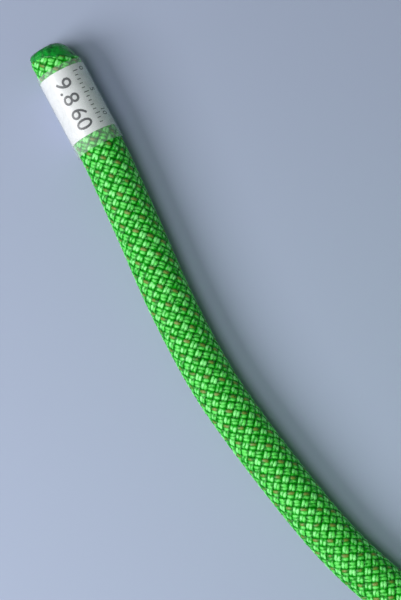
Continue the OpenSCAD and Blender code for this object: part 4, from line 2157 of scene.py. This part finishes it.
def dress_frame() -> list[bpy.types.Object]:
    """Gives the frame's own pieces that stay their finishes.

    Returns:
        The nodes that lie in or on the rope.
    """
    finishes = {
        "core_marker": YarnFinish("marker_thread", MARKER).make(),
        "label_band": TapeFinish().make(),
        "film_sleeve": FilmFinish().make(),
    }
    kept = []
    for name, node in sorted(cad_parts.items()):
        for start, material in finishes.items():
            if name.startswith(start):
                node.data.materials.clear()
                node.data.materials.append(material)
                kept.append(node)
    log.info("frame: %d nodes dressed", len(kept))
    return kept


def make_ties() -> list[bpy.types.Object]:
    """Returns:
        The pieces.
    """
    loop_side = WebbingFinish("loop_webbing", (0.022, 0.023, 0.027), nap=0.75).make()
    hook_side = WebbingFinish("hook_webbing", (0.018, 0.018, 0.02), rib=0.7 * MM, nap=0.2).make()
    thread = WebbingFinish("thread", (0.05, 0.05, 0.055), nap=0.2).make()
    straps = []
    for number, angle in enumerate(TIES.angles(), 1):
        tie = CoilTie(f"strap_{number}", angle, TIES, ROPE, COIL)
        parts = [tie.make_band(loop_side), tie.make_lap(hook_side), tie.make_stitches(thread)]
        strap = joined(f"strap_{number}", parts)
        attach(strap, BODY)
        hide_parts(f"tie_{number}")
        straps.append(strap)
    return straps


def make_ends(ends: dict[str, CutEnd]) -> list[bpy.types.Object]:
    """Args:
        ends: the cut ends, by the last word of their nodes' names.

    Returns:
        The plugs.
    """
    melt = MeltFinish("melted_polyamide", (0.004, 0.36, 0.03), (0.001, 0.06, 0.012)).make()
    ink = InkFinish().make()
    plugs = []
    for node, end in ends.items():
        plug = end.make_plug(melt)
        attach(plug, BODY)
        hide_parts(f"fused_tip_{node}")
        plugs.append(plug)
        BandPrint(end.name, end.place, WRAP).make(ink).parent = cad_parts[f"label_band_{node}"]
    return plugs


def main() -> None:
    studio = Studio()
    studio.make_camera()
    rope = Rope(ROPE, RopeLine(ROPE, COIL, TIES))
    tube = rope.make_tube()
    ends = {
        "free": CutEnd("free_end", EndPlace.of(rope.path), WRAP),
        "far": CutEnd("far_end", EndPlace.of(rope.path[::-1]), WRAP),
    }
    rope.make_yarns(tube, list(ends.values()))
    on_rope = dress_frame()
    for piece, nodes in rope.make_core():
        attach(piece, BODY)
        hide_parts(*nodes)
        on_rope.append(piece)
    on_rope += make_ends(ends)
    on_rope += make_ties()
    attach(tube, BODY)
    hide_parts("sheath_lead", "rope_coil", "sheath_tail")
    studio.make_floor()
    studio.light()


if __name__ == "__main__":
    main()
